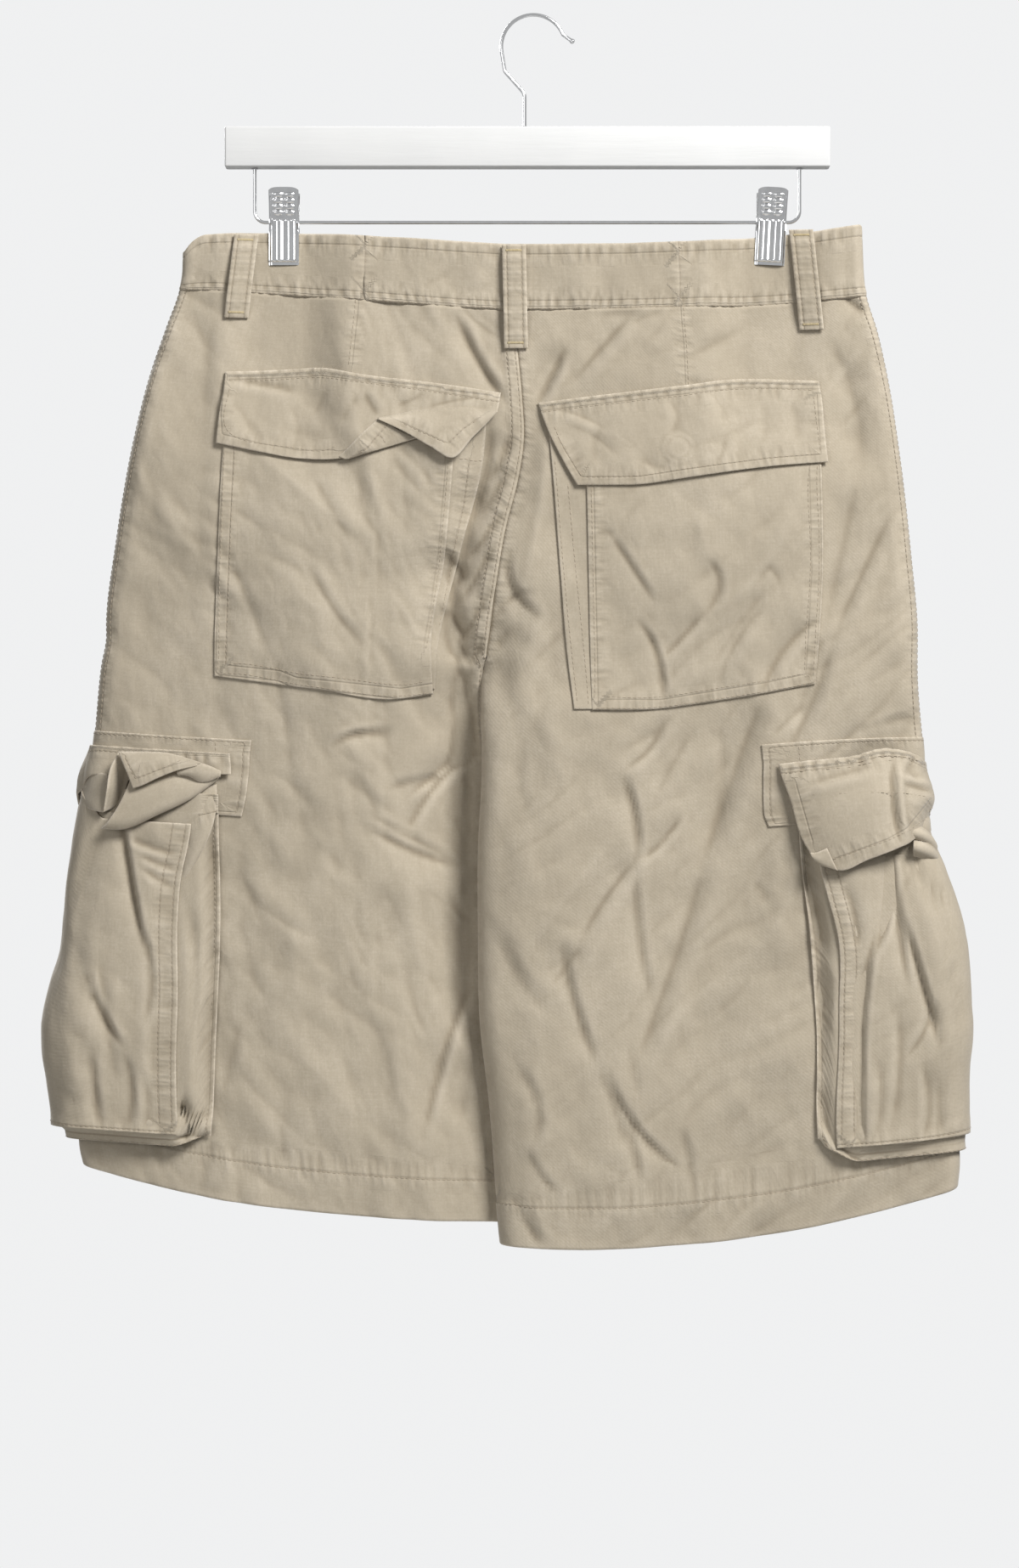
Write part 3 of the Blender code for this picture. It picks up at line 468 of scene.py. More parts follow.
class Leg:
    """Half the garment. p counts lines from the side seam, minus on the front; q counts rows."""

    def __init__(self, side, rows):
        self.side = side
        self.inward = 1 if side == "left" else -1
        places = np.array(list(rows.values()))
        self.down = -places[:, 1]
        self.lines = {name: places[:, k] for k, name in enumerate(LINES)}

    def row(self, q, front):
        """Every line's place on row q, the centre's and depth's values, and the cloth's lengths."""
        down = np.interp(q, range(len(self.down)), self.down)
        row = {name: curve_through(self.down, line, down) for name, line in self.lines.items()}
        for name in ("half", "shift"):
            row[name] = curve_through(*CENTRE_BY_Z[name], row["z_centre"])
        row["x_centre"] = curve_through(*CENTRE_BY_Z[self.side], row["z_centre"])
        if self.side == "right":
            row["half"] = row["half"] + OVERLAP * smooth((-row["z_centre"] - 405) / 60)
        fork, crotch = LEFT_ROWS["fork"][3], LEFT_ROWS["crotch"][3]
        row["closed"] = np.clip((fork - row["z_centre"]) / (fork - crotch), 0, 1)
        row["fold"] = curve_through(*DEPTH_BY_Z["fold"], row["z_out"])
        strip = row["x_centre"] - self.inward * FLY_STRIP
        row["x_face"] = np.where(front, row["x_centre"] - self.inward * FLY_WIDTH, row["x_face"])
        row["x_strip"] = np.where(front, strip, row["x_in"])
        row["bend"] = np.maximum(row["closed"] * row["half"], 1e-6)
        around = row["fold"] * (math.pi / 2 - 1) + self.inward * (row["x_out"] - row["x_side"])
        inner = row["bend"] * (math.pi / 2 - 1) + self.inward * (row["x_centre"] - row["x_strip"])
        row["lengths"] = (
            around,
            self.inward * (row["x_face"] - row["x_out"]),
            self.inward * (row["x_strip"] - row["x_face"]),
            inner,
        )
        return row

    def place(self, p, q, creased=1.0):
        """The point of the cloth's outer face at p, q."""
        front = p < 0
        row = self.row(q, front)
        a = np.abs(p)
        fold, bend = row["fold"], row["bend"]
        around = np.minimum(a, 1) * row["lengths"][0]
        turn = np.minimum(around / fold, math.pi / 2)
        from_side = fold * (1 - np.cos(turn)) + np.maximum(around - fold * math.pi / 2, 0)
        back_off = np.minimum(4 - a, 1) * row["lengths"][3]
        inner_turn = np.minimum(back_off / bend, math.pi / 2)
        from_centre = bend * (1 - np.cos(inner_turn)) + np.maximum(back_off - bend * math.pi / 2, 0)

        x = np.where(a <= 1, row["x_side"] + self.inward * from_side, 0)
        for after, first, last in ((1, "x_out", "x_face"), (2, "x_face", "x_strip")):
            within = row[first] + (a - after) * (row[last] - row[first])
            x = np.where((a > after) & (a <= after + 1), within, x)
        x = np.where(a > 3, row["x_centre"] - self.inward * from_centre, x)
        s = (x - row["x_side"]) / (row["x_centre"] - row["x_side"])
        z = self.level(s, row)

        full = np.where(
            front,
            curve_through(*DEPTH_BY_Z["front"], z),
            curve_through(*DEPTH_BY_Z["back"], z),
        )
        depth = fold + (full - fold) * smooth(s / 0.35)
        # Towards the crotch each leg keeps its fullness almost to the centre, then turns in
        kept = 0.5 + (KEPT_FULL[self.side] - 0.5) * smooth((-row["z_centre"] - 240) / 130)
        depth = depth + (row["half"] - depth) * smooth((s - kept) / (1 - kept))
        lies = np.where(front, relief("front", x, z), relief("back", x, z))
        inside = 1 - row["closed"] * (1 - smooth((1 - s) / 0.1))
        depth = np.maximum(depth + creased * lies * inside, 2.0)
        fade = 1 - smooth((np.abs(x - CLIP_X[self.side]) - PINCH_HALF_WIDTH) / PINCH_FADE)
        pinch = fade * (1 - smooth((PINCH_TOP - z) / (PINCH_TOP - PINCH_END)))
        depth = depth + (PINCH_HALF_DEPTH - depth) * pinch
        inner = np.where(a > 3, 1 - row["closed"] * (1 - np.sin(inner_turn)), 1)
        y = depth * np.sin(turn) * inner * np.where(front, 1, -1)
        y = y + self.inward * row["shift"] * smooth((s - 0.35) / 0.65)
        return np.stack([x, y, z], axis=-1)

    def level(self, s, row):
        """A row's height across the leg: the cubic through its four given heights."""
        width = row["x_centre"] - row["x_side"]
        s_out, s_in = ((row[name] - row["x_side"]) / width for name in ("x_out", "x_in"))
        z0, z1, z2, z3 = (row[name] for name in LINES[:4])
        first = (z1 - z0) / s_out
        second = (z2 - z1) / (s_in - s_out)
        third = (z3 - z2) / (1 - s_in)
        curl = (second - first) / s_in
        later = (third - second) / (1 - s_out)
        return z0 + s * (first + (s - s_out) * (curl + (s - s_in) * (later - curl)))

    def cloth(self, p, q, lift, creased=1.0):
        """A point lift mm outside the cloth's outer face, square to its smooth form."""
        small = 4e-3
        ahead, behind = np.minimum(p + small, 4), np.maximum(p - small, -4)
        across = self.place(ahead, q, 0) - self.place(behind, q, 0)
        ahead, behind = np.minimum(q + small, LAST), np.maximum(q - small, 0)
        down = self.place(p, ahead, 0) - self.place(p, behind, 0)
        normal = unit(-self.inward * np.cross(across, down))
        return self.place(p, q, creased) + normal * np.asarray(lift, float)[..., None]

    def share(self, s, q, front):
        """p at a share s of the row's own length, 0 at the side seam and 1 at the centre."""
        lengths = np.array(self.row(q, np.full(np.shape(q), front))["lengths"])
        ends = np.cumsum(lengths, axis=0)
        target = s * ends[-1]
        parts = (target - (ends - lengths)) / np.maximum(lengths, 1e-6)
        p = np.clip(parts, 0, 1).sum(axis=0)
        return -p if front else p

    def find(self, x, z):
        """p and q of a point of the back, from its x and z."""
        back = np.zeros(np.shape(x), bool)
        q = np.interp(-z, -self.lines["z_in"], range(len(self.down)))
        for _ in range(5):
            row = self.row(q, back)
            s = (x - row["x_side"]) / (row["x_centre"] - row["x_side"])
            here = self.level(s, row)
            step = 0.01
            ahead = self.row(q + step, back)
            s = (x - ahead["x_side"]) / (ahead["x_centre"] - ahead["x_side"])
            slope = (self.level(s, ahead) - here) / step
            q = np.clip(q + (z - here) / np.where(np.abs(slope) < 1, -20, slope), 0, LAST - 0.02)
        row = self.row(q, back)
        off = np.maximum(self.inward * (x - row["x_side"]), 0)
        fold = row["fold"]
        arc = fold * np.arccos(np.clip(1 - off / fold, -1, 1))
        around = np.where(off < fold, arc, fold * math.pi / 2 + off - fold)
        p = np.clip(around / row["lengths"][0], 0, 1)
        p = p + np.clip((x - row["x_out"]) / (row["x_face"] - row["x_out"]), 0, 1)
        p = p + np.clip((x - row["x_face"]) / (row["x_strip"] - row["x_face"]), 0, 1)
        return p + np.clip((x - row["x_strip"]) / (row["x_centre"] - row["x_strip"]), 0, 1), q

    def over(self, x, z, lift, creased=1.0):
        """A point lift mm behind the garment's back at x, z."""
        point = self.place(*self.find(x, z), creased)
        return np.stack([x, point[..., 1] - lift, z], axis=-1)


LEGS = {"left": Leg("left", LEFT_ROWS), "right": Leg("right", RIGHT_ROWS)}


class Shade:
    """A shader socket that Python operators work on."""

    def __init__(self, tree, socket):
        self.tree, self.socket = tree, socket

    def node(self, kind, settings=None, out=0, **inputs):
        """Adds a node of this kind, its settings first, then its sockets' values or links."""
        node = self.tree.nodes.new(kind)
        for key, value in (settings or {}).items():
            setattr(node, key, value)
        for key, value in inputs.items():
            socket = node.inputs[int(key[1:]) if key[0] == "_" else key]
            if isinstance(value, Shade):
                self.tree.links.new(value.socket, socket)
            else:
                socket.default_value = value
        return Shade(self.tree, node.outputs[out])

    def maths(self, operation, first, second=0.0):
        return self.node("ShaderNodeMath", {"operation": operation}, _0=first, _1=second)

    def __add__(self, other):
        return self.maths("ADD", self, other)

    def __sub__(self, other):
        return self.maths("SUBTRACT", self, other)

    def __rsub__(self, other):
        return self.maths("SUBTRACT", other, self)

    def __mul__(self, other):
        return self.maths("MULTIPLY", self, other)

    def __truediv__(self, other):
        return self.maths("DIVIDE", self, other)

    def at_least(self, low):
        return self.maths("MAXIMUM", self, low)

    def at_most(self, high):
        return self.maths("MINIMUM", self, high)

    def unsigned(self):
        return self.maths("ABSOLUTE", self)

    __radd__ = __add__
    __rmul__ = __mul__

    def hump(self, width):
        """exp of minus the square of this over width."""
        scaled = self / width
        return self.maths("POWER", math.e, scaled * scaled * -1.0)

    def noise(self, vector, scale, detail=3.0, roughness=0.55):
        return self.node(
            "ShaderNodeTexNoise", Vector=vector, Scale=scale, Detail=detail, Roughness=roughness
        )

    def mix(self, other, factor, blend="MIX"):
        """This colour mixed towards another."""
        settings = {"data_type": "RGBA", "blend_type": blend}
        return self.node("ShaderNodeMix", settings, out=2, _0=factor, _6=self, _7=other)

    def dye(self, red, green, blue):
        """A plain colour."""
        shade = self.node("ShaderNodeRGB")
        shade.socket.default_value = (red, green, blue, 1)
        return shade

    def stretched(self, scale):
        return self.node("ShaderNodeVectorMath", {"operation": "MULTIPLY"}, _0=self, _1=scale)


def new_material(name):
    """A Principled material with a start for its shader expressions."""
    material = bpy.data.materials.new(name)
    material.use_nodes = True
    shader = material.node_tree.nodes["Principled BSDF"]
    return material, shader, Shade(material.node_tree, shader.outputs[0])


def feed(shader, name, shade):
    """Links a shade to one of the Principled sockets."""
    shade.tree.links.new(shade.socket, shader.inputs[name])


def make_twill(name, colour, dark, pale):
    """Washed cotton twill: mottled, finely woven, puckered and worn pale at its seams, with painted
    shade in its creases and seam hollows.
    """
    material, shader, start = new_material(name)
    finish = {
        "Roughness": 0.92, "Specular IOR Level": 0.18, "Sheen Weight": 0.25, "Sheen Roughness": 0.5
    }
    for socket, value in finish.items():
        shader.inputs[socket].default_value = value
    where = start.node("ShaderNodeTexCoord", out=3)
    cut = start.node("ShaderNodeUVMap", {"uv_map": "cut"})
    sewn = start.node("ShaderNodeAttribute", {"attribute_name": "sewn"}, out=1)
    away, along, twin = (
        start.node("ShaderNodeSeparateXYZ", out=index, Vector=sewn) for index in range(3)
    )
    rim = start.node("ShaderNodeAttribute", {"attribute_name": "rim"}, out=2)

    blotches = start.noise(where, 9.0, 4.0, 0.6)
    cloudy = start.noise(where, 38.0, 4.0, 0.65)
    slubs = start.noise(cut.stretched((900.0, 60.0, 1.0)), 1.0, 2.0, 0.6)
    picks = start.noise(cut.stretched((60.0, 900.0, 1.0)), 1.0, 2.0, 0.6)
    grain = start.noise(where, 620.0, 2.0, 0.7)
    tone = (blotches - 0.5) * 0.55 + (cloudy - 0.5) * 0.5 + (slubs - 0.5) * 0.3
    tone = tone + (picks - 0.5) * 0.3 + (grain - 0.5) * 0.5
    dark, pale = (*dark, 1), (*pale, 1)
    dye = start.dye(*colour).mix(dark, (0.0 - tone).at_least(0.0)).mix(pale, tone.at_least(0.0))

    # Puckers run across a seam and change every few millimetres along it
    side = away.unsigned()
    pleats = start.node("ShaderNodeCombineXYZ", X=along * 0.2, Y=away * 0.06, Z=twin)
    pucker = start.noise(pleats, 1.0, 1.5, 0.5) - 0.5
    near = away.hump(7.0)
    groove = (side - twin).hump(0.5)
    worn = rim.hump(0.9) * (0.45 + (grain - 0.5) * 1.2 + (cloudy - 0.5) * 1.5)
    ridge = near * (pucker * 3.0).at_least(0.0)
    dye = dye.mix(pale, (worn + ridge * 0.35).at_most(0.9))
    # Painted shade: the hollows between the puckers and the groove that each row of stitches sinks
    # into are darkened
    pucker_shade = near * (pucker * -3.0).at_least(0.0)
    dye = dye.mix(dark, pucker_shade * 0.6 + groove * 0.3)
    # Painted shade darkens the creases, and the ridges beside them are worn paler
    fold = start.node("ShaderNodeAttribute", {"attribute_name": "fold"}, out=2)
    dye = dye.mix(dark, (fold * 0.75).at_least(0.0)).mix(pale, (fold * -0.25).at_least(0.0))
    feed(shader, "Base Color", dye)

    twill = start.node(
        "ShaderNodeTexWave",
        {"wave_type": "BANDS", "bands_direction": "DIAGONAL"},
        out=1,
        Vector=cut.stretched((1000.0, 1000.0, 0.0)),
        Scale=0.28,
        Distortion=1.5,
        Detail=1.0,
    )
    # Small wrinkles, sharp one way and soft the other
    tight = start.noise(where.stretched((1.0, 1.0, 0.55)), 95.0, 2.0, 0.5) - 0.5
    loose = start.noise(where.stretched((1.0, 1.0, 0.7)), 48.0, 1.0, 0.5) - 0.5
    wrinkles = tight.unsigned() * 1.1 - loose.unsigned() * 1.9
    height = twill * 0.05 + grain * 0.10 + (slubs + picks) * 0.05 + cloudy * 0.3 + wrinkles
    height = height + near * pucker * 3.0 - groove * 0.5
    normal = start.node("ShaderNodeBump", Height=height, Strength=0.55, Distance=0.001)
    feed(shader, "Normal", normal)
    return material


# The second colour is both the cloth's darker mottling and the painted shade in its creases and
# hollows
KHAKI, KHAKI_DARK_AND_SHADE, KHAKI_WORN = (0.390, 0.336, 0.254), (0.25, 0.205, 0.145), (0.60, 0.53, 0.43)
TWILL_CLOTH = make_twill("khaki_twill", KHAKI, KHAKI_DARK_AND_SHADE, KHAKI_WORN)
# Every cut piece: its object, its cut, its cloth's share of that, and what it is sewn to
PIECES = []
# Distances in mm that stand for no seam and no finished edge near by
NO_SEAM, NO_EDGE = 900.0, 99.0


def finished(name, data, material, nodes=()):
    """A mesh as a piece of the object."""
    obj = bpy.data.objects.new(name, data)
    bpy.context.scene.collection.objects.link(obj)
    data.materials.append(material)
    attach(obj, "root")
    if nodes:
        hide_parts(*nodes)
    return obj


def lines_across(length, step, first_free, last_free):
    """Shares of a length for a mesh's lines, closer together at a finished edge."""
    close = [0.35, 0.9, 1.8]
    start = [0.0] + [c for c in close if first_free]
    end = [length] + [length - c for c in close if last_free]
    first, last = max(start), min(end)
    count = max(1, round((last - first) / step))
    middle = [first + (last - first) * k / count for k in range(1, count)]
    return np.array(sorted(start + middle + end)) / length


def spread(value, s, t):
    """A value at every place, from a number or a function of s and t."""
    return value(s, t) if callable(value) else np.full(len(s), float(value))


def vertex_places(data):
    """A mesh's vertices."""
    places = np.empty(len(data.vertices) * 3)
    data.vertices.foreach_get("co", places)
    return places.reshape(-1, 3)


def cloth_piece(
    name, size, point, lift, thick, free="", seams=(), step=2.4, nodes=(), held_by=(),
    flat_seams=True,
):
    """A cut piece of cloth with a real thickness. size is the cut's width and height, and
    point(s, t, lift) places a share of each, s to the right and t down the cut. free names the
    finished edges (l, r, t, b), which are rounded. seams are (path, half the spacing of its twin
    rows), in the cut's mm or, unless flat_seams, in the garment's x and z."""
    wide, high = size
    across = lines_across(wide, step, "l" in free, "r" in free)
    down = lines_across(high, step, "t" in free, "b" in free)
    mesh = bmesh.new()
    bmesh.ops.create_grid(mesh, x_segments=len(across) - 1, y_segments=len(down) - 1, size=1)
    made = bmesh.ops.extrude_face_region(mesh, geom=mesh.faces[:], use_keep_orig=True)
    for item in made["geom"]:
        if isinstance(item, bmesh.types.BMVert):
            item.co.z = 1
    bmesh.ops.recalc_face_normals(mesh, faces=mesh.faces[:])
    data = bpy.data.meshes.new(name)
    mesh.to_mesh(data)
    mesh.free()

    start = vertex_places(data)
    column = np.rint((start[:, 0] + 1) / 2 * (len(across) - 1)).astype(int)
    line = np.rint((start[:, 1] + 1) / 2 * (len(down) - 1)).astype(int)
    outside = (start[:, 2] > 0.5).astype(int)
    s, t = across[column], down[line]
    inner, wall = spread(lift, s, t), spread(thick, s, t)
    off = {"l": s * wide, "r": (1 - s) * wide, "t": t * high, "b": (1 - t) * high}
    rim = np.min([off[edge] for edge in free] or [np.full(len(s), NO_EDGE)], axis=0)
    round_off = np.clip(rim / (wall / 2 + 0.3), 0.04, 1)
    half = wall / 2 * np.sqrt(1 - (1 - round_off) ** 2)
    points = point(s, t, inner + wall / 2 + np.where(outside, half, -half))
    data.vertices.foreach_set("co", (points * MM).ravel())

    # How sharply the cloth is bent: 1 in a tight crease, minus on a ridge. The twill paints shade
    # into the creases by it
    grid = np.zeros((2, len(across), len(down), 3))
    grid[outside, column, line] = points
    over, under = np.gradient(grid[1], across * wide, down * high, axis=(0, 1))
    facing = np.cross(over, under)
    facing *= np.sign(np.sum(facing * (grid[1] - grid[0])))
    turned = np.gradient(unit(facing), across * wide, down * high, axis=(0, 1))
    bent = sum(
        np.sum(change * run, axis=-1) / np.maximum(np.sum(run * run, axis=-1), 1e-6)
        for change, run in zip(turned, (over, under))
    )
    fold = np.clip(-bent[column, line] * 5.0, -1, 1) * outside * smooth((rim - 1) / 2)

    corners = np.empty(len(data.loops), int)
    data.loops.foreach_get("vertex_index", corners)
    faces = corners.reshape(-1, 4)
    a, b, c, d = (points[faces[:, k]] for k in range(4))
    if np.einsum("ij,ij->", a, np.cross(b, c)) + np.einsum("ij,ij->", a, np.cross(c, d)) < 0:
        data.flip_normals()
        data.loops.foreach_get("vertex_index", corners)
    cut = data.uv_layers.new(name="cut")
    flat = np.stack([s * wide, t * high], axis=-1) * MM
    cut.data.foreach_set("uv", flat[corners].ravel())
    sewn = np.tile([NO_SEAM, 0.0, 0.0], (len(s), 1))
    beside, below = (s * wide, t * high) if flat_seams else (points[:, 0], points[:, 2])
    for path, twin in seams:
        away, along, _ = nearest(path, beside, below)
        # The same sign inside every seam, so that they meet at corners without a line
        middle = nearest(path, beside.mean(keepdims=True), below.mean(keepdims=True))[0]
        away = away * np.where(middle > 0, -1, 1)
        # Far from a seam the distance is stretched, so no two seams' signs meet near nothing
        away = np.where(np.abs(away) < 9, away, away * 9)
        closer = np.abs(away) < np.abs(sewn[:, 0])
        sewn[closer] = np.stack([away, along, np.full(len(s), twin)], axis=-1)[closer]
    data.attributes.new("sewn", "FLOAT_VECTOR", "POINT").data.foreach_set("vector", sewn.ravel())
    data.attributes.new("rim", "FLOAT", "POINT").data.foreach_set("value", rim)
    data.attributes.new("fold", "FLOAT", "POINT").data.foreach_set("value", fold)
    data.shade_smooth()
    data.update()
    data.validate()

    obj = finished(name, data, TWILL_CLOTH, nodes)
    outer = sum(np.linalg.norm(np.cross(v - a, w - a), axis=1) for v, w in ((b, c), (c, d)))
    PIECES.append((obj, size, outer.sum() / 4 / wide / high, held_by))


THREAD = make_twill("khaki_thread", (0.38, 0.315, 0.23), (0.27, 0.22, 0.15), (0.50, 0.43, 0.34))


def trace(point, path):
    """Shares s, t of the places on a piece nearest to a path of x and z."""
    s, t = (axis.ravel() for axis in np.meshgrid(np.linspace(0, 1, 150), np.linspace(0, 1, 150)))
    spots = point(s, t, np.zeros(len(s)))
    picked = [np.argmin((spots[:, 0] - x) ** 2 + (spots[:, 2] - z) ** 2) for x, z in path]
    return np.stack([s[picked], t[picked]], axis=-1)


def sew(name, size, point, lift, paths, pitch=3.3, length=2.6, radius=0.24, flat=True):
    """Rows of lock stitches along paths in the cut's mm, or the garment's x and z unless flat,
    half sunk in the cloth."""
    wide, high = size
    lines = []
    for path in paths:
        path = np.array([place[:2] for place in path], float)
        runs = added_up(np.hypot(*np.diff(path, axis=0).T))
        count = max(2, int(runs[-1] / 1.2))
        at = np.linspace(0, runs[-1], count)
        line = np.stack([np.interp(at, runs, path[:, k]) for k in range(2)], axis=-1)
        if not flat:
            line = trace(point, line) * (wide, high)
            even = np.linspace(0, 1, count)
            order = min(5, count - 1)
            fits = [np.polyfit(even, line[:, k], order) for k in (0, 1)]
            line = np.stack([np.polyval(fit, even) for fit in fits], axis=-1)
        lines.append(line / (wide, high))
    s, t = np.concatenate(lines).T
    top = spread(lift, s, t)
    on_cloth = point(s, t, top)
    outward = point(s, t, top + 1.0) - on_cloth
    turned = []
    starts = added_up([len(line) for line in lines])
    for first, last in zip(starts, starts[1:]):
        line, out = on_cloth[first:last], outward[first:last]
        reach = added_up(np.linalg.norm(np.diff(line, axis=0), axis=1))
        centres = np.arange(pitch / 2, reach[-1], pitch)
        if not len(centres):
            continue
        start, middle, end = (
            np.stack([np.interp(centres + part, reach, line[:, k]) for k in range(3)], axis=-1)
            for part in (-length / 2, 0, length / 2)
        )
        run = unit(end - start)
        up = np.stack([np.interp(centres, reach, out[:, k]) for k in range(3)], axis=-1)
        up = unit(up - run * np.sum(up * run, axis=1, keepdims=True))
        axes = np.stack([np.cross(run, up) * radius, up * radius, run * length / 2], axis=1)
        turned.append(np.concatenate([axes, (middle + up * radius * 0.3)[:, None]], axis=1))
    turned = np.concatenate(turned)

    # One small bead is copied, each copy set down 10 further on, then all are moved to their places
    mesh = bmesh.new()
    bmesh.ops.create_uvsphere(mesh, u_segments=5, v_segments=3, radius=1)
    copies = 1
    while copies < len(turned):
        more = min(copies, len(turned) - copies)
        chosen = [vert for vert in mesh.verts if vert.co.x < 10 * more - 5]
        faces = [face for face in mesh.faces if face.verts[0].co.x < 10 * more - 5]
        made = bmesh.ops.duplicate(mesh, geom=chosen + faces)
        fresh = [item for item in made["geom"] if isinstance(item, bmesh.types.BMVert)]
        bmesh.ops.translate(mesh, vec=(10 * copies, 0, 0), verts=fresh)
        copies += more
    data = bpy.data.meshes.new(name)
    mesh.to_mesh(data)
    mesh.free()
    bead = vertex_places(data)
    which = np.rint(bead[:, 0] / 10).astype(int)
    bead[:, 0] -= 10 * which
    set_down = turned[which]
    placed = np.einsum("ij,ijk->ik", bead, set_down[:, :3]) + set_down[:, 3]
    data.vertices.foreach_set("co", (placed * MM).ravel())
    data.shade_smooth()
    data.update()
    return finished(name, data, THREAD)


PANEL_WIDE, PANEL_HIGH = 258.0, 585.0
HEM_SHARE = 1 - HEM / PANEL_HIGH


def panel_row(leg, s, t, front):
    """q at a share t of the panel's height. The rows below HEM_SHARE follow the hem's edge."""
    places = np.linspace(ROW["waist"], ROW["cargo_low"], 200)
    drop = np.interp(places, range(LAST + 1), -leg.lines["z_in"])
    even = np.interp(t / HEM_SHARE * (drop[-1] - drop[0]) + drop[0], drop, places)
    shares = np.linspace(0, 1, 30)
    lows = []
    for share in shares:
        q = np.linspace(ROW["cargo_low"] - 0.9, LAST, 40)
        z = leg.place(leg.share(np.full(40, share), q, front), q)[:, 2]
        lows.append(np.interp(-(z[-1] + HEM), -z, q))
    fold = np.interp(s, shares, lows)
    blend = np.clip(t / HEM_SHARE, 0, 1) ** 4
    upper = even + (fold - ROW["cargo_low"]) * blend
    lower = fold + (LAST - fold) * np.clip((t - HEM_SHARE) / (1 - HEM_SHARE), 0, 1)
    return np.where(t < HEM_SHARE, upper, lower)


def panel(side, face):
    """One panel, from the waist seam to the hem and from the side seam to the centre."""
    leg = LEGS[side]
    front = face == "front"

    def point(s, t, lift):
        q = panel_row(leg, s, t, front)
        return leg.cloth(leg.share(s, q, front), q, lift)

    def top(s, t):
        """The outer face: the doubled hem, and the felled seams' ridges."""
        hem = 0.55 * smooth(((t - HEM_SHARE) * PANEL_HIGH + 0.6) / 1.2)
        fell = 9.0 if side == "left" else 0.0
        edge = (1 - s) * PANEL_WIDE
        seam = 0.6 * smooth((fell - edge) / 1.5 + 0.5) * (side == "left")
        outseam = 0.5 * smooth((10.0 - s * PANEL_WIDE) / 1.5 + 0.5) * (not front)
        dip = 0.7 * bump(edge, 0.9) + 0.6 * bump(s * PANEL_WIDE, 0.9)
        return hem + np.maximum(seam, outseam) - dip

    def thick(s, t):
        return TWILL + top(s, t) + 0.7

    wide, high = PANEL_WIDE, PANEL_HIGH
    hem_y = HEM_SHARE * high + 1.0
    seams = [(((0, hem_y), (wide, hem_y)), 0.0)]
    rows = [((0, hem_y), (wide, hem_y))]
    if side == "left":
        seams.append((((wide - 5, 0), (wide - 5, hem_y)), 3.0))
        rows += [((wide - 2, 0), (wide - 2, hem_y)), ((wide - 8, 0), (wide - 8, hem_y))]
    else:
        seams.append((((wide, 0), (wide, hem_y)), 60.0))
    if not front:
        dart = {"left": ((140, 0), (141, 46)), "right": ((138.5, 0), (144.5, 50))}[side]
        seams.append((dart, 0.0))
        rows.append(tuple((x - 2.2, y) for x, y in dart))
        seams.append((((5.5, 0), (5.5, hem_y)), 3.5))
        rows += [((2, 0), (2, hem_y)), ((9, 0), (9, hem_y))]
    name = f"{side}_{face}_cloth"
    step = 2.0 if face == "back" else 4.0
    cloth_piece(
        name, (wide, high), point, -TWILL - 0.7, thick, free="b",
        seams=seams, step=step, nodes=[f"{face}_{side}_panel"],
        held_by=["waistband_left" if side == "left" else "waistband_right"],
    )
    sew(f"{name}_stitches", (wide, high), point, top, rows)


for panel_side in LEGS:
    for panel_face in ("back", "front"):
        panel(panel_side, panel_face)


def seam_allowance(face):
    """The raw edges of the centre seam, turned in behind it down to the crotch."""
    outward = 1 if face == "front" else -1

    def point(s, t, lift):
        q = ROW["waist"] + (ROW["fork"] - 0.1 - ROW["waist"]) * t
        line = LEGS["left"].place(np.full_like(q, 4.0 * -outward), q)
        off = (s - 0.5) * 10
        line[:, 0] += off
        line[:, 1] -= outward * (2.4 + 0.9 * np.abs(off) - lift)
        return line

    cloth_piece(
        f"centre_{face}_allowance", (10.0, 230.0), point, 0.0, 1.0, step=2.4,
        held_by=[f"left_{face}_cloth"],
    )


for allowance_face in ("back", "front"):
    seam_allowance(allowance_face)

# ---- Back pockets ----
# A patch of the same twill on each back, its inner side let out over a pleated strip, double
# stitched down its sides and foot, and covered by a flap sewn on above it with two rows.


def paths(text):
    """Paths, one to a line: the x and z of each point in turn."""
    return [list(zip(row[::2], row[1::2])) for row in table(text)]


def seam_lines(text):
    """Seams, one to a line: half the spacing of its twin rows, then its path."""
    return [(list(zip(row[1::2], row[2::2])), row[0]) for row in table(text)]


def laid_out(count, places, place, extra=None):
    """Rows of places, count to a row and each an x, a z and a lift, as a smooth cut: its size, and
    point(s, t, lift) on the garment."""
    grid = np.array(places.replace(",", " ").split(), float).reshape(-1, count, 3)
    gaps = np.linalg.norm(np.diff(grid[..., :2], axis=1), axis=2).mean(axis=0)
    drops = np.linalg.norm(np.diff(grid[..., :2], axis=0), axis=2).mean(axis=1)
    s_at, t_at = added_up(gaps), added_up(drops)

    def point(s, t, lift):
        across = [[curve_through(s_at, row[:, k], s * s_at[-1]) for row in grid] for k in range(3)]
        x, z, rise = (curve_through(t_at, np.array(column), t * t_at[-1]) for column in across)
        if extra:
            rise = rise + extra(x, z)
        return place(x, z, rise + lift)

    return (s_at[-1], t_at[-1]), point


def puckers(path, first, last, pitch, deep, seed=3):
    """Pleats between a seam and the row of stitches below it, first to last mm from the seam."""
    dice = np.random.default_rng(seed)
    knots = np.arange(0, 400, pitch / 2)
    sway = dice.uniform(0.3, 1.0, len(knots)) * np.where(np.arange(len(knots)) % 2, 1, -1)

    def extra(x, z):
        away, along, _ = nearest(path, x, z)
        middle, half = (first + last) / 2, (last - first) / 2
        window = bump(np.abs(away) - middle, half * 1.3)
        return deep * curve_through(knots, sway, along) * window

    return extra


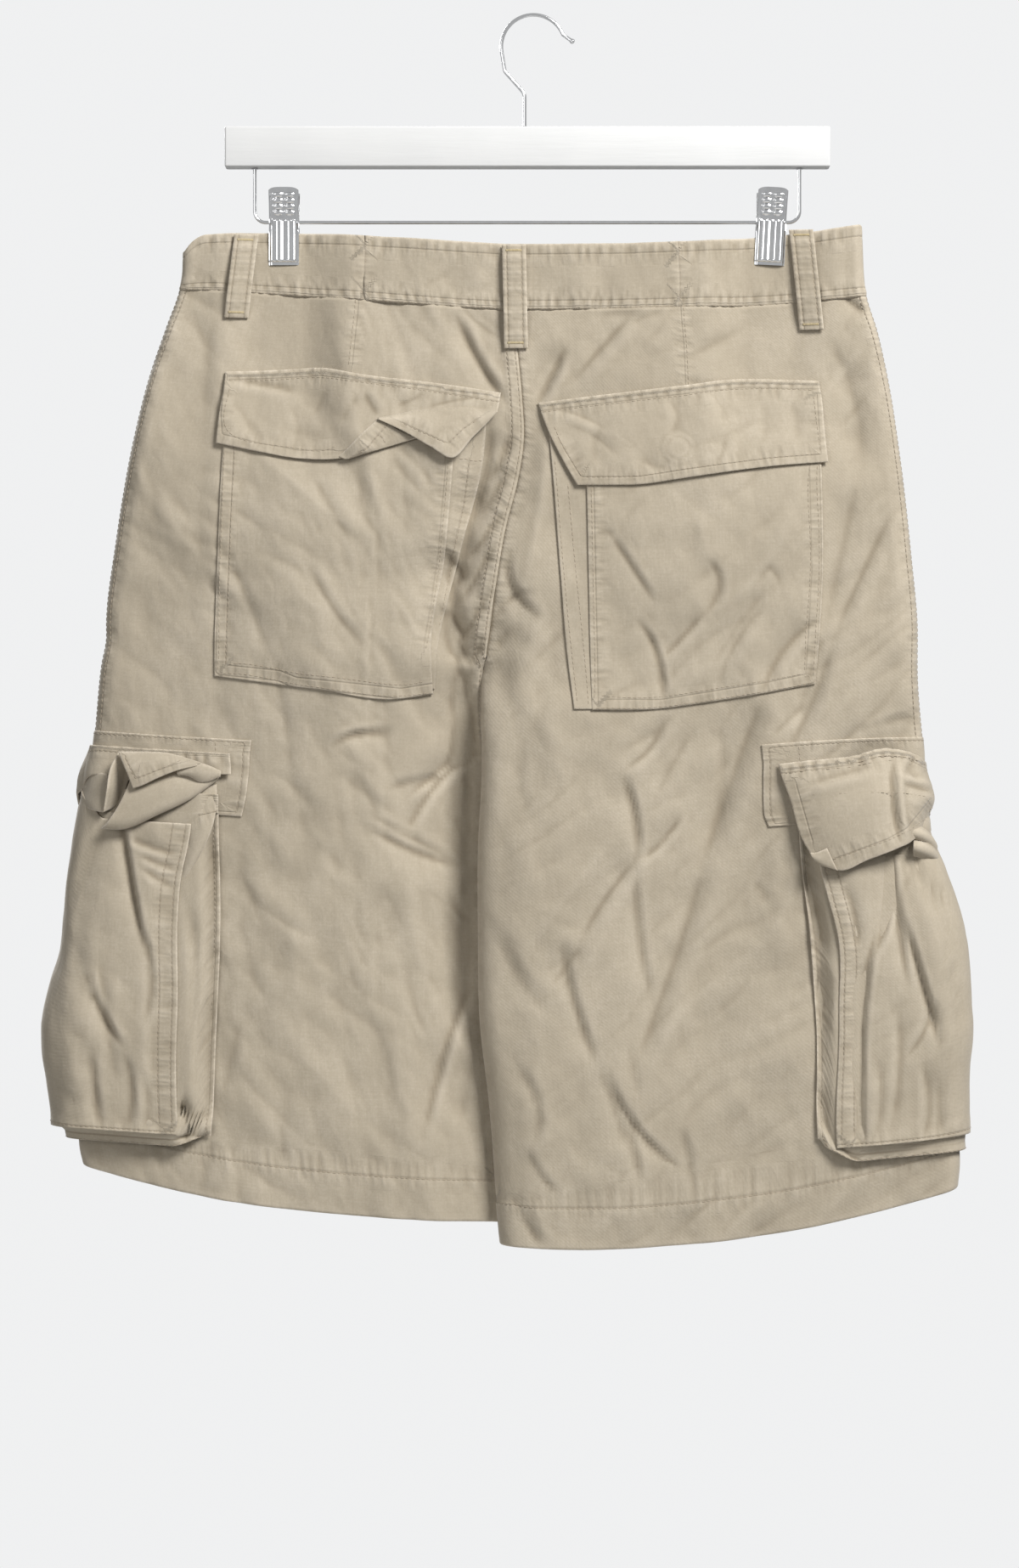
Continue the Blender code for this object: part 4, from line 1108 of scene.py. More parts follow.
def placed_piece(name, size, point, lift=0.0, thick=TWILL, free="lrtb", stitches=(), **cut):
    """A piece of cloth whose seams and rows of stitches are given in x and z."""
    cloth_piece(name, size, point, lift, thick, free=free, flat_seams=False, **cut)
    if stitches:
        sew(f"{name}_stitches", size, point, lift + thick, stitches, flat=False)


def laid_piece(name, count, places, leg, extra=None, step=1.85, **cut):
    """A piece of cloth laid over the back of a leg."""
    placed_piece(name, *laid_out(count, places, LEGS[leg].over, extra), step=step, **cut)


laid_piece("back_left_pocket_strip", 3, """
-57.7,-256.6,0.3 -44.3,-255.5,0.3 -29.4,-256.6,0.5
-59.8,-280.6,0.3 -47,-280.1,0.3 -31.5,-279.5,0.9
-64.1,-339.4,0.3 -55,-339.4,0.3 -46.5,-339.4,0.9
-68.4,-396.5,0.3 -64.1,-397.6,0.3 -60.3,-398.6,0.6
-69.4,-423.2,0.3 -65.7,-423.2,0.3 -61.9,-423.2,0.3
""", "left", free="rtb",
    seams=seam_lines("0 -40.1,-280.6 -43.8,-310 -51.3,-339.4"),
    stitches=paths("""
-46.5,-280.1 -32.6,-280.4
-40.1,-281.7 -43.8,-310 -51.8,-347.4 -59.3,-384.7
"""),
    held_by=["left_back_cloth"],
)
laid_piece("back_left_pocket_face", 4, """
-192.8,-256.6,0.4 -121.8,-258.2,1.2 -68.4,-258.7,1.8 -48.1,-258.2,2
-194.4,-280.6,0.4 -123.9,-281.7,1.2 -70.5,-281.7,1.8 -50.2,-281.7,2.2
-197,-339.4,0.4 -127.1,-340.4,0.8 -75.8,-339.9,1.6 -55.5,-339.4,2.2
-199.2,-395.4,0.4 -131.4,-398.1,0.6 -81.7,-397.6,1.2 -64.1,-396.5,1.8
-199.2,-415.2,0.4 -135.1,-423.7,0.4 -84.4,-429.6,0.8 -63,-426.4,1.2
""", "left",
    seams=seam_lines("""
3.2 -190.1,-267.3 -194.4,-371.4 -195.4,-411.4
3.2 -195.4,-411.4 -159.1,-415.2 -148.5,-419.5 -82.8,-426.4 -64.1,-423.2
0 -54.5,-277.9 -59.8,-339.4 -64.1,-371.4 -68.4,-396.5
"""),
    stitches=paths("""
-192.8,-267.3 -196,-371.4 -197,-411.4
-186.4,-267.3 -190.6,-371.4 -191.7,-408.2
-197,-413 -159.1,-416.8 -148.5,-421.1 -82.8,-428 -65.1,-424.8
-190.6,-407.2 -159.1,-410.4 -148.5,-414.1 -82.8,-421.1 -68.4,-418.9
-52.9,-283.3 -58.2,-339.4 -62.5,-371.4 -66.8,-396.5
"""),
    nodes=["back_left_pocket"], held_by=["left_back_cloth"],
)
laid_piece("back_right_pocket_strip", 3, """
9.1,-259.3,0.5 22.4,-259.3,0.3 43.8,-259.3,0.3
11.2,-280.6,0.6 23.5,-281.2,0.3 43.8,-282.2,0.3
16.6,-350,0.6 28.8,-350.6,0.3 44.9,-350.6,0.3
20.8,-400.8,0.6 32,-400.8,0.3 44.9,-400.8,0.3
25.1,-436,0.4 34.2,-436,0.3 44.9,-436,0.3
""", "right", free="ltb",
    stitches=paths("""
21.4,-296.1 26.7,-352.7 32.6,-410.4 34.2,-433.9
13.4,-280.6 18.7,-350 27.2,-432.8
"""),
    held_by=["right_back_cloth"],
)
laid_piece("back_right_pocket_face", 4, """
32,-256.6,1.8 59.8,-256.6,1.5 118.5,-252.8,0.9 178.9,-249.1,0.4
33.1,-297.2,1.8 60.9,-296.6,1.5 119.6,-291.8,0.9 180,-284.4,0.4
34.2,-350,1.6 63,-350,1.2 121.2,-350,0.7 181,-350,0.4
35.2,-400.8,1.4 64.1,-399.7,0.9 121.8,-396.5,0.5 178.9,-387.4,0.4
36.3,-436.5,0.8 65.1,-436.5,0.5 122.8,-429.6,0.4 176.2,-420,0.4
""", "right",
    seams=seam_lines("""
3.2 175.2,-284.4 176.8,-350 173,-416.8
3.2 36.3,-433.3 79.6,-433.3 145.2,-422.7 173,-416.8
0 37.4,-297.2 38.4,-350 40.1,-432.8
"""),
    stitches=paths("""
177.3,-284.4 178.9,-350 174.6,-417.3
171.4,-284.4 173,-350 169.3,-412.5
38.4,-434.9 79.6,-434.9 145.2,-424.3 174.1,-418.9
41.7,-428.5 79.6,-428.5 145.2,-417.9 168.7,-413
35.8,-297.2 36.8,-350 38.4,-427.5
"""),
    nodes=["back_right_pocket"], held_by=["right_back_cloth"],
)

# ---- Back flaps ----
# A lined flap over each back pocket. The left one has turned up at the middle of its edge, so a
# strip of its lining shows, and its inner corner hangs in front of that. The right one lies flat
# but for a crease, and the button sewn under it has pressed a ring in it.
LEFT_FLAP_SEAM = (
    (-192.8, -224.5), (-133.5, -221.9), (-111.1, -226.1), (-79, -229.9), (-47, -233.6),
    (-20.3, -237.9),
)
LEFT_FLAP_PUCKERS = puckers(LEFT_FLAP_SEAM, 0.8, 4.8, 7.5, 0.5)
LEFT_FLAP_CREASES = table("""
-193.3,-228.8 -167.1,-233.1 -141,-238.4 2.6 1.2 0.5
-130.3,-234.2 -132.4,-243.8 -138.8,-253.4 1.1 1.6 -0.3
-108.9,-237.4 -114.3,-248 -121.8,-259.3 1.2 1.8 0.3
-105.7,-236.3 -101.5,-245.9 -95.1,-254.5 1.6 1.6 -0.4
-192.2,-240.6 -180.5,-253.4 -175.2,-268.3 0.9 2.4 0.2
-159.1,-256.6 -147.4,-263 -126,-267.3 0.9 2.2 -0.3
-152.7,-245.9 -147.4,-256.6 -148.5,-271.5 0.8 1.8 0.2
-65.7,-236.3 -73.7,-241.6 -88.6,-248 1.2 1.8 0.3
-29.9,-240.6 -47,-242.7 -68.4,-248 1.3 1.6 -0.3
""")
laid_piece("back_left_flap_main", 8, """
-192.8,-224.5,0.8 -159.1,-222.9,0.8 -133.5,-221.9,0.8 -111.1,-226.1,0.8 -92.4,-228.6,0.8
-68.4,-231,0.8 -44.3,-234.2,0.8 -20.3,-237.9,0.8
-193.8,-235.2,1.8 -161.3,-234.2,2 -136.2,-233.6,2 -113.2,-236.3,2 -94,-237.9,2.2 -69.4,-239.5,2.4
-45.4,-241.1,2.2 -21.4,-243.2,1.4
-196.5,-252.3,2.4 -166.6,-254.5,3 -141,-256.6,3.2 -115.9,-255.5,3.2 -95.6,-250.2,3.4
-70.5,-249.1,3 -47,-248,2.4 -24,-249.1,1.8
-197.6,-263,2.4 -168.7,-267.8,3.2 -144.2,-270.5,3.6 -118,-269.9,3.8 -96.7,-262.5,3.6
-72.6,-257.7,3 -48.6,-253.9,2.6 -27.8,-252.3,2.2
-198.1,-269.9,2 -169.8,-275.8,3 -146.3,-279.8,3.6 -119.6,-279.8,4.2 -97.7,-273.7,3.6
-75.3,-267.3,3 -49.7,-259.8,2.6 -31,-255,2.2
""", "left", thick=1.5,
    seams=[(LEFT_FLAP_SEAM, 60)] + seam_lines("""
0 -190.6,-229.9 -133.5,-227.2 -111.1,-231 -68.4,-236.3 -21.4,-243.8
0 -193.3,-227.2 -195.4,-251.2 -194.4,-264.6 -169.8,-270.5 -146.3,-274.7 -123.9,-274.7
"""),
    stitches=paths("""
-190.6,-230.4 -133.5,-227.8 -111.1,-231.5 -68.4,-236.8 -22.4,-243.8
-190.6,-235.2 -192.2,-251.2 -193.3,-264.1 -169.8,-269.9 -146.3,-274.2 -125,-274.2
"""),
    extra=lambda x, z: LEFT_FLAP_PUCKERS(x, z) + pressed(LEFT_FLAP_CREASES, x, z),
    nodes=["back_left_flap"], held_by=["left_back_cloth"], step=1.5,
)
laid_piece("back_left_flap_lining", 4, """
-121.2,-278.7,5.2 -114.3,-272.1,6.2 -105.2,-263,6.4 -97.2,-255.5,6.2
-119.1,-279.8,5.4 -108.9,-274.7,6 -98.8,-266.2,6.2 -89.7,-258.7,6
-116.4,-280.4,5.2 -102.5,-275,5.4 -90.8,-269.4,5.4 -82.2,-263,5.2
-114.3,-280.1,4.6 -98.8,-275.3,4.6 -85.4,-271,4.4 -72.6,-267.3,4.2
""", "left", thick=1.0, free="ltb",
    seams=seam_lines("0 -108.4,-276.6 -103.6,-274.2 -90.8,-258.2"),
    stitches=paths("""
-108.9,-276.9 -104.1,-274.5 -91.3,-259.3
-95.6,-265.1 -91.3,-271.5
"""),
    held_by=["back_left_flap_main"], step=1.2,
)
laid_piece("back_left_flap_corner", 7, """
-97.2,-254.7,6.2 -84.4,-251.5,3.6 -68.4,-249.1,3.2 -53.4,-248,3.2 -40.6,-247.5,3 -29.9,-248,2.6
-21.4,-243.8,2.2
-96.7,-255,7.2 -83.8,-254.5,6.4 -67.3,-255.5,6.4 -52.3,-258.2,6.4 -40.1,-255,5.6 -28.8,-251.2,4.2
-21.9,-247,2.8
-96.7,-255.3,7.6 -82.8,-258.2,7.4 -65.7,-264.1,7.8 -51.3,-270.5,7.8 -39,-261.4,6.6
-28.3,-253.9,4.8 -22.4,-249.1,3.2
-96.7,-255.8,7.8 -81.7,-262.7,7.8 -64.6,-272.6,8 -49.9,-279.8,7.6 -37.9,-266.7,6.4
-27.8,-256.3,4.6 -22.4,-250.2,3.2
""", "left", thick=1.3, free="rb",
    seams=seam_lines("0 -81.7,-257.7 -68.4,-264.1 -53.4,-271 -44.3,-261.9 -34.7,-255"),
    stitches=paths("""
-81.2,-258.2 -68.4,-264.3 -54.5,-270.5
-52.3,-270.5 -44.3,-261.9 -35.8,-256.1
"""),
    held_by=["back_left_flap_main"], step=1.2,
)
RIGHT_FLAP_SEAM = ((2.7, -244.3), (48.1, -239), (91.8, -233.6), (132.4, -228.6), (178.9, -229.6))
RIGHT_FLAP_PUCKERS = puckers(RIGHT_FLAP_SEAM, 0.8, 4.8, 8.0, 0.5, seed=4)
BUTTON_X, BUTTON_Z, BUTTON_RIM = 90.2, -273.1, 7.4
RIGHT_FLAP_CREASES = table("""
7.5,-247.5 27.8,-252.3 50.2,-264.1 1.5 1.7 0.4
11.7,-256.6 33.1,-263 57.7,-282.2 1.2 2 -0.3
81.2,-239.5 89.7,-252.3 84.4,-267.3 1.3 1.7 0.4
44.9,-256.6 38.4,-269.9 41.7,-286.5 0.9 2 0.3
119.6,-263 118.5,-273.7 112.1,-287.6 1.1 1.6 -0.3
107.9,-236.3 118.5,-249.1 116.4,-259.8 0.9 2 0.2
141,-238.4 145.2,-256.6 141,-272.6 0.9 2.4 0.3
161.3,-240.6 165.5,-256.6 163.4,-272.6 0.8 2.2 -0.2
60.9,-277.9 75.8,-284.4 89.7,-286.5 0.9 1.8 0.2
""")


def right_flap_relief(x, z):
    """The puckers at its seam, its creases, and the ring pressed in it by the button under it."""
    away = np.hypot(x - BUTTON_X, z - BUTTON_Z)
    ring = 0.6 * smooth((10.5 - away) / 2.5) - 0.4 * bump(away - BUTTON_RIM, 1.2)
    return RIGHT_FLAP_PUCKERS(x, z) + ring + pressed(RIGHT_FLAP_CREASES, x, z)


laid_piece("back_right_flap_main", 7, """
2.7,-244.3,0.8 25.6,-241.6,0.8 48.1,-239,0.8 90.2,-233.9,0.8 132.4,-228.8,0.8 155.9,-229.1,0.8
178.9,-229.9,0.8
6.4,-255.5,2.2 28.8,-252.8,2.4 51.3,-250.7,2.4 91.3,-246.4,2.4 133.5,-241.6,2.4 157,-241.1,2.2
180.5,-241.1,1.8
14.4,-273.7,3 36.8,-273.1,3.2 57.7,-272.1,3.4 92.9,-268.9,3.4 137.8,-262.5,3.2 161.3,-261.4,2.8
182.1,-260.9,2.2
21.4,-286.5,3.2 42.2,-286.5,3.4 61.9,-286,3.6 94,-282.2,3.6 143.1,-275.3,3.2 163.9,-273.7,2.8
183.2,-272.6,2.2
27.2,-296.4,3 46.5,-296.4,3.2 65.1,-296.1,3.4 94.5,-292.1,3.4 147.4,-284.6,3 166.6,-282.8,2.6
184.2,-281.4,2
""", "right", thick=1.5,
    seams=[(RIGHT_FLAP_SEAM, 60)] + seam_lines("""
0 6.4,-249.6 48.1,-244.8 91.8,-239.5 132.4,-234.4 177.3,-235.5
0 18.2,-272.6 29.4,-291.3 65.1,-291.3 94.5,-287 147.4,-279.5 179.4,-276.9 177.3,-240.6
"""),
    stitches=paths("""
6.4,-250.2 48.1,-245.4 91.8,-240 132.4,-234.7 177.3,-235.8
12.8,-259.3 19.2,-273.7 29.9,-290.8
31.5,-291.3 65.1,-291 94.5,-286.5 147.4,-279 178.4,-276.3
178.9,-274.7 177.3,-256.6 175.2,-239.5
"""),
    extra=right_flap_relief, nodes=["back_right_flap"], held_by=["right_back_cloth"], step=1.5,
)

# ---- Cargo pockets ----
# A patch is sewn over each side seam. On it sits a bellows pocket: a face, wrapped from front to
# back, on a pleated strip that runs down both sides and along the foot, full but empty. A button
# holds its flap, which is sewn to the patch above it.
POCKET_CREASES = {
    "left": table("""
-259.5,-486.2 -251.5,-537.5 -240.3,-595.1 6 1.1 -1.2
-244.6,-566.3 -238.2,-603.7 -244.6,-642.1 3.4 1.3 -0.8
-286.2,-577 -270.2,-622.9 -248.8,-651.7 3.6 1.4 -1
-264.9,-502.2 -279.8,-534.3 -290.5,-571.6 4.2 2 1
-255.3,-515 -233.9,-523.6 -218.4,-525.7 3 1 0.6
-246.7,-525.7 -230.7,-533.2 -218.9,-534.3 2.2 1 0.5
-244.6,-533.2 -231.8,-542.8 -221.1,-544.9 1.8 1 0.4
-270.2,-523.6 -282,-571.6 -286.2,-619.7 2.4 2.2 0.6
-293.7,-555.6 -299,-614.4 -290.5,-667.8 3.4 2.2 0.9
-294.8,-619.7 -278.7,-655 -274.5,-699.8 3.2 1.5 0.8
-272.3,-635.7 -273.4,-667.8 -267,-705.1 2.6 1.4 -0.6
-231.8,-577 -237.1,-635.7 -232.3,-689.1 1.8 1.6 0.5
-256.3,-643.7 -249.9,-673.1 -254.2,-702.5 2.2 1.3 -0.6
-267,-582.3 -265.9,-630.4 -255.3,-678.4 2.2 2.2 -0.6
-283,-663.5 -287.3,-683.8 -286.2,-705.1 2.2 1.3 0.5
-300.1,-641.1 -296.9,-667.8 -300.1,-694.5 2.6 1.6 0.6
-243.5,-660.3 -240.3,-681.7 -242.4,-705.1 1.8 1.2 0.4
"""),
    "right": table("""
217.9,-502.2 223.2,-550.3 209.9,-595.1 6 1 -1.2
215.7,-566.3 205.6,-619.7 204,-689.1 5.4 1 -1.2
205.1,-630.4 204,-683.8 207.2,-737.2 4.6 1 -0.8
222.1,-518.2 227.5,-566.3 235,-617 4.2 1.2 -0.8
227.5,-555.6 243.5,-609 258.5,-660.3 5 1 -1
229.6,-512.9 247.8,-544.9 268.1,-559.9 4.2 1.4 -1
239.2,-542.8 254.2,-566.3 260.6,-593 2.8 1.4 0.6
224.3,-614.4 228.6,-651.7 222.1,-707.8 2.6 1.6 0.5
251,-566.3 262.7,-603.7 263.8,-657.1 3.4 1.4 0.8
190.6,-542.8 199.7,-563.6 200.8,-590.9 2.4 1.4 0.6
241.4,-651.7 246.7,-683.8 240.3,-710.5 2.6 1.4 0.7
212,-646.4 216.8,-678.4 211.5,-707.8 2 1.4 0.5
257.4,-660.3 254.2,-683.8 258.5,-708.4 2.6 1.3 -0.6
251,-614.4 242.4,-638.9 229.6,-653.9 2.2 1.4 0.4
"""),
}
FRONT_POCKET_CREASES = {
    "left": table("""
-262,-515 -256,-560 -262,-610 2.2 3 1.2
-236,-515 -240,-580 -230,-640 1.6 5 0.8
-270,-600 -254,-640 -240,-690 2 4 -1
-216,-600 -222,-650 -214,-692 1.2 5 0.5
"""),
    "right": table("""
225,-520 220,-570 228,-620 2.2 3 -1.2
198,-520 204,-590 196,-650 1.6 5 0.8
244,-590 232,-640 214,-695 2 4 1
190,-620 194,-660 188,-700 1.2 5 0.5
"""),
}
STRIP_CREASES = {
    "left": table("""
-216.8,-544.9 -210.4,-598.3 -213.6,-651.7 3 1.4 0.8
-201.9,-502.2 -200.8,-555.6 -206.1,-609 2.4 1.3 -0.6
-204,-614.4 -209.3,-657.1 -207.2,-689.1 2.6 1.2 0.6
-223.2,-678.4 -213.6,-690.2 -201.9,-687 3.4 1 0.9
-225.3,-701.9 -214.7,-700.9 -201.9,-691.3 3 1 -0.9
-216.8,-671 -218.9,-687 -214.7,-708.4 2.6 1 0.7
-289.4,-705.1 -265.9,-708.9 -242.4,-706.7 1.8 1 0.4
-257.4,-708.4 -236,-711.6 -218.9,-705.1 2.2 1 0.5
"""),
    "right": table("""
165.5,-523.6 176.2,-566.3 186.9,-603.7 4.4 1.3 1
186.9,-593 180.5,-630.4 178.4,-673.1 3.6 1.3 -1
171.9,-550.3 177.3,-593 175.2,-635.7 2.8 1.2 0.7
176.2,-663.5 181.6,-694.5 195.4,-716.9 3.8 1.2 1
180.5,-709.4 191.2,-718 202.9,-729.7 3.2 1 -1
188,-703 197.6,-714.8 206.1,-718 3 1 0.8
201.9,-720.1 230.7,-718 259.5,-716.9 2 1 0.5
"""),
}
# How far the sewn foot rises towards the back edge, in rows
FOOT_RISE = {"left": 0.95, "right": 1.08}
# How far the pocket stands off the leg: row, at the side seam, on its back and front
POCKET_BULK = {
    "left": (
        ("pouch_top", 3, 7), ("patch_low", 4, 8), ("cargo_mid", 11, 12), ("cargo_deep", 20, 14),
        ("cargo_fold", 15, 11), ("cargo_low", 12, 9),
    ),
    "right": (
        ("pouch_top", 3, 7), ("patch_low", 5, 9), ("cargo_mid", 14, 12), ("cargo_deep", 12, 10),
        ("cargo_fold", 5, 9), ("cargo_low", 4, 8),
    ),
}
# How far the face's back edge lies from the strip's sewn edge: height, mm
FACE_INSET = {
    "left": (
        (-740, 20), (-704, 21), (-680, 23), (-618, 24.5), (-570, 26.5), (-547, 25), (-516, 18.5),
        (-480, 15),
    ),
    "right": (
        (-740, 12), (-700, 12.5), (-660, 13.5), (-622, 15), (-583, 17.5), (-555, 14), (-535, 11.5),
        (-480, 10),
    ),
}
FRONT_INSET = 22.0
# Where the patch's front edge lies, in lines from the side seam
PATCH_FRONT = -1.125


def bulk(side, p, q):
    """How far a pocket's face stands off the leg."""
    names, *columns = zip(*POCKET_BULK[side])
    rows = [ROW[name] for name in names]
    at_side, facing = (curve_through(rows, column, q) for column in columns)
    turned = smooth(np.abs(p) / 0.5)
    return 2.5 + at_side * (1 - turned) + facing * turned


def face_inset(side, z):
    """The face's back edge at a height, from the strip's sewn edge."""
    return curve_through(*np.array(FACE_INSET[side], float).T, z)


def from_sewn_edge(leg, p, q):
    """How far a place lies from the pocket's sewn edge, round the cloth."""
    return (1 - np.abs(p)) * leg.row(q, p < 0)["lengths"][0]


def cargo_pocket(side):
    """The patch, the pocket's face and its pleated strip on one leg."""
    leg = LEGS[side]
    top_of_patch = 1.165 if side == "left" else 1.2
    foot_of_patch = 1.10 if side == "left" else 1.13

    def patch(s, t, lift):
        back_edge = top_of_patch + (foot_of_patch - top_of_patch) * t
        p = PATCH_FRONT + (back_edge - PATCH_FRONT) * s
        return leg.cloth(p, ROW["patch_top"] + (ROW["patch_low"] - ROW["patch_top"]) * t, lift)

    size = (216.0, 49.0)
    stitches = [((3, 45.5), (3, 3), (213, 3), (213, 45.5)), ((200, 3), (200, 45.5))]
    seams = [(((3, 46), (3, 3), (213, 3), (213, 46), (3, 46)), 0.0)]
    cloth_piece(
        f"cargo_{side}_patch_cloth", size, patch, 0.25, 1.0, free="lrtb", seams=seams,
        nodes=[f"cargo_{side}_patch"], held_by=[f"{side}_back_cloth"], step=2.6,
    )
    sew(f"cargo_{side}_patch_stitches", size, patch, 1.25, stitches)

    face_top = ROW["pouch_top"]
    mouth_drop = {"left": 0.09, "right": 0.30}[side]

    def face_place(s, t):
        """p and q on the pocket's face: s from its front edge round to its back edge."""
        q0 = face_top + (ROW["patch_low"] + mouth_drop - face_top) * smooth((s - 0.45) / 0.15)
        q = q0 + (ROW["cargo_fold"] + 0.02 - q0) * t
        z = leg.place(np.full_like(s, 0.95), q, 0)[:, 2]
        length = leg.row(q, np.zeros(np.shape(s), bool))["lengths"][0]
        back_edge = 1 - face_inset(side, z) / length
        front_edge = -(1 - FRONT_INSET / leg.row(q, np.ones(np.shape(s), bool))["lengths"][0])
        return front_edge + (back_edge - front_edge) * s, q

    def face(s, t, lift):
        p, q = face_place(s, t)
        rise = bulk(side, p, q)
        edge = np.minimum(s, 1 - s)
        rise = rise * (0.62 + 0.38 * smooth(edge / 0.16))
        smooth_point = leg.cloth(p, q, rise, 0)
        x, z = smooth_point[:, 0], smooth_point[:, 2]
        to_back = smooth((p + 0.15) / 0.3)
        own = pressed(POCKET_CREASES[side], x, z) * to_back
        own = own + 1.5 * pressed(FRONT_POCKET_CREASES[side], x, z) * (1 - to_back)
        own = own + 0.45 * relief("back", 0.7 * x - 40, z + 60) * smooth(edge / 0.1)
        own = own * (0.3 + 0.7 * smooth(edge / 0.08) * smooth((1 - t) / 0.05))
        return leg.cloth(p, q, rise + own + lift, 0)

    wide, high = (126.0, 190.0) if side == "left" else (140.0, 186.0)
    mouth_row, side_row = 17, 6.5
    edge_rows = [
        ((3, 2), (3, high - 3), (wide - 3, high - 3), (wide - 3, 2)),
        ((10, 2), (10, high - 10)), ((wide - 10, 2), (wide - 10, high - 10)),
        ((3, mouth_row), (wide * 0.5, mouth_row)),
    ]
    cloth_piece(
        f"cargo_{side}_pocket_face", (wide, high), face, 0.0, 1.3, free="lrtb",
        seams=[
            (((side_row, 0), (side_row, high)), 3.5),
            (((wide - side_row, 0), (wide - side_row, high)), 3.5),
            (((0, mouth_row), (wide * 0.5, mouth_row)), 0.0),
            (((0, high - 3), (wide, high - 3)), 0.0),
        ],
        nodes=[f"cargo_{side}_pocket"], held_by=[f"cargo_{side}_pocket_strip"], step=1.75,
    )
    sew(f"cargo_{side}_face_stitches", (wide, high), face, 1.3, edge_rows)

    def strip(s, t, lift):
        """The pleated strip: sewn to the leg at its rim, and up under the face within."""
        p = -0.985 + 1.97 * s
        sewn_row = ROW["cargo_low"] - FOOT_RISE[side] * smooth((p - 0.72) / 0.26)
        q = ROW["pouch_top"] + (sewn_row - ROW["pouch_top"]) * t
        off = from_sewn_edge(leg, p, q)
        z = leg.place(np.sign(p) * 0.95, q, 0)[:, 2]
        inset = np.where(p > 0, face_inset(side, z), FRONT_INSET)
        foot = leg.place(np.sign(p) * 0.95, np.full_like(q, ROW["cargo_fold"]), 0)[:, 2]
        under = smooth(np.minimum(off - inset + 3, z - foot + 4) / 9)
        sewn = 1.6 * bump(off - 2.2, 2.4) * (off < 2.2) + 1.6 * bump(off - 2.2, 3.5) * (off >= 2.2)
        full = bulk(side, p, q)
        low = 0.4 + 1.3 * (t < 0.22) + sewn + 0.5 * full * smooth((off - 4) / 9) * (p > 0)
        high_part = full * (0.62 + 0.38 * smooth((off - inset) / 20)) - 2.6
        # The foot bulges out in a soft roll below the face, folded into the corners
        sewn_foot = leg.place(np.sign(p) * 0.95, sewn_row, 0)[:, 2]
        up = np.clip((z - sewn_foot) / 9, 0, 1) * np.clip(off / 9, 0, 1)
        roll = 0.62 * full * np.sqrt(1 - (1 - up) ** 2) * (1 - smooth((z - foot - 2) / 14))
        low = np.maximum(low, roll)
        # Further in it falls back to the leg, clear of the face's folds
        inside = np.minimum(off - inset, z - foot)
        under = under * (1 - smooth((inside - 5) / 10))
        rise = low + (np.maximum(high_part, low) - low) * under
        spot = leg.place(p, q, 0)
        crumple = pressed(STRIP_CREASES[side], spot[:, 0], spot[:, 2]) * (p > 0)
        rise = rise + crumple * smooth(off / 3)
        near = 1 - smooth((rise - 2) / 5)
        return leg.cloth(p, q, rise + lift, 1.0 * near)

    size = (186.0, 222.0)
    cloth_piece(
        f"cargo_{side}_pocket_strip", size, strip, 0.0, TWILL, free="lrb",
        seams=[(((3, 0), (3, 219), (183, 219), (183, 0)), 0.0)],
        held_by=[f"{side}_back_cloth"], step=2.2,
    )
    sew(
        f"cargo_{side}_strip_stitches", size, strip, TWILL,
        [((3.2, 24), (3.2, 219), (182.8, 219), (182.8, 24))],
    )


for cargo_side in LEGS:
    cargo_pocket(cargo_side)

# ---- Cargo flaps ----
# A lined flap with a buttonhole, sewn to the patch on a puckered double row. The left one has been
# left crumpled: rolled up from its back corner, which lies turned over on top. The right one hangs
# flat, with one deep crease and the tip of its back corner turned up.


def formed(count, places, extra=None):
    """Rows of places, count to a row and each an x, a z and a depth towards the garment's back, as
    a smooth cut: its size, and point(s, t, lift), lifted square to the form."""
    size, smooth_form = laid_out(
        count, places, lambda x, z, depth: np.stack([x, -depth, z], axis=-1)
    )

    def point(s, t, lift):
        small = 4e-3
        right, left = np.minimum(s + small, 1), np.maximum(s - small, 0)
        down, up = np.minimum(t + small, 1), np.maximum(t - small, 0)
        beside = smooth_form(right, t, 0) - smooth_form(left, t, 0)
        normal = unit(np.cross(beside, smooth_form(s, down, 0) - smooth_form(s, up, 0)))
        base = smooth_form(s, t, 0)
        own = extra(base[:, 0], base[:, 2]) * (base[:, 1] < 0) if extra else 0
        return base + normal * turn * np.asarray(lift + own, float)[..., None]

    turn = 1.0
    probe = np.array([0.3]), np.array([0.5])
    outward = point(*probe, np.array([1.0])) - point(*probe, np.array([0.0]))
    turn = 1.0 if outward[0, 1] < 0 else -1.0
    return size, point


def formed_piece(name, count, places, extra=None, step=1.5, **cut):
    """A piece of cloth with a form of its own."""
    placed_piece(name, *formed(count, places, extra), step=step, **cut)


FLAP_BASE_SIZE = (190.0, 34.0)


def left_flap_base(s, t, lift):
    """The part of the left flap that still hangs from its seam, rolled into pleats at its back."""
    leg = LEGS["left"]
    p = -0.98 + 2.03 * s
    drop = curve_through((-1, -0.35, -0.08, 0.06, 0.3, 1.05), (56, 56, 44, 22, 21, 13), p)
    top = leg.place(np.zeros_like(p), np.full_like(p, ROW["cargo_top"]), 0)[:, 2]
    q = np.interp(-(top - drop * t), -leg.lines["z_side"], range(LAST + 1))
    over_pocket = np.where(p < 0, bulk("left", p, np.maximum(q, ROW["pouch_top"])) + 3.2, 5.0)
    rise = 1.5 + (np.maximum(over_pocket, 5.0) - 1.5) * smooth(drop * t / 24) ** 0.8
    rolls = smooth((p - 0.3) / 0.2) * bump(drop * t - 5, 4) * 1.4
    wave = np.sin(p * 74 + 1.5 * np.sin(p * 23))
    return leg.cloth(p, q, rise + rolls * (0.5 + 0.5 * wave) + lift, 0.4)


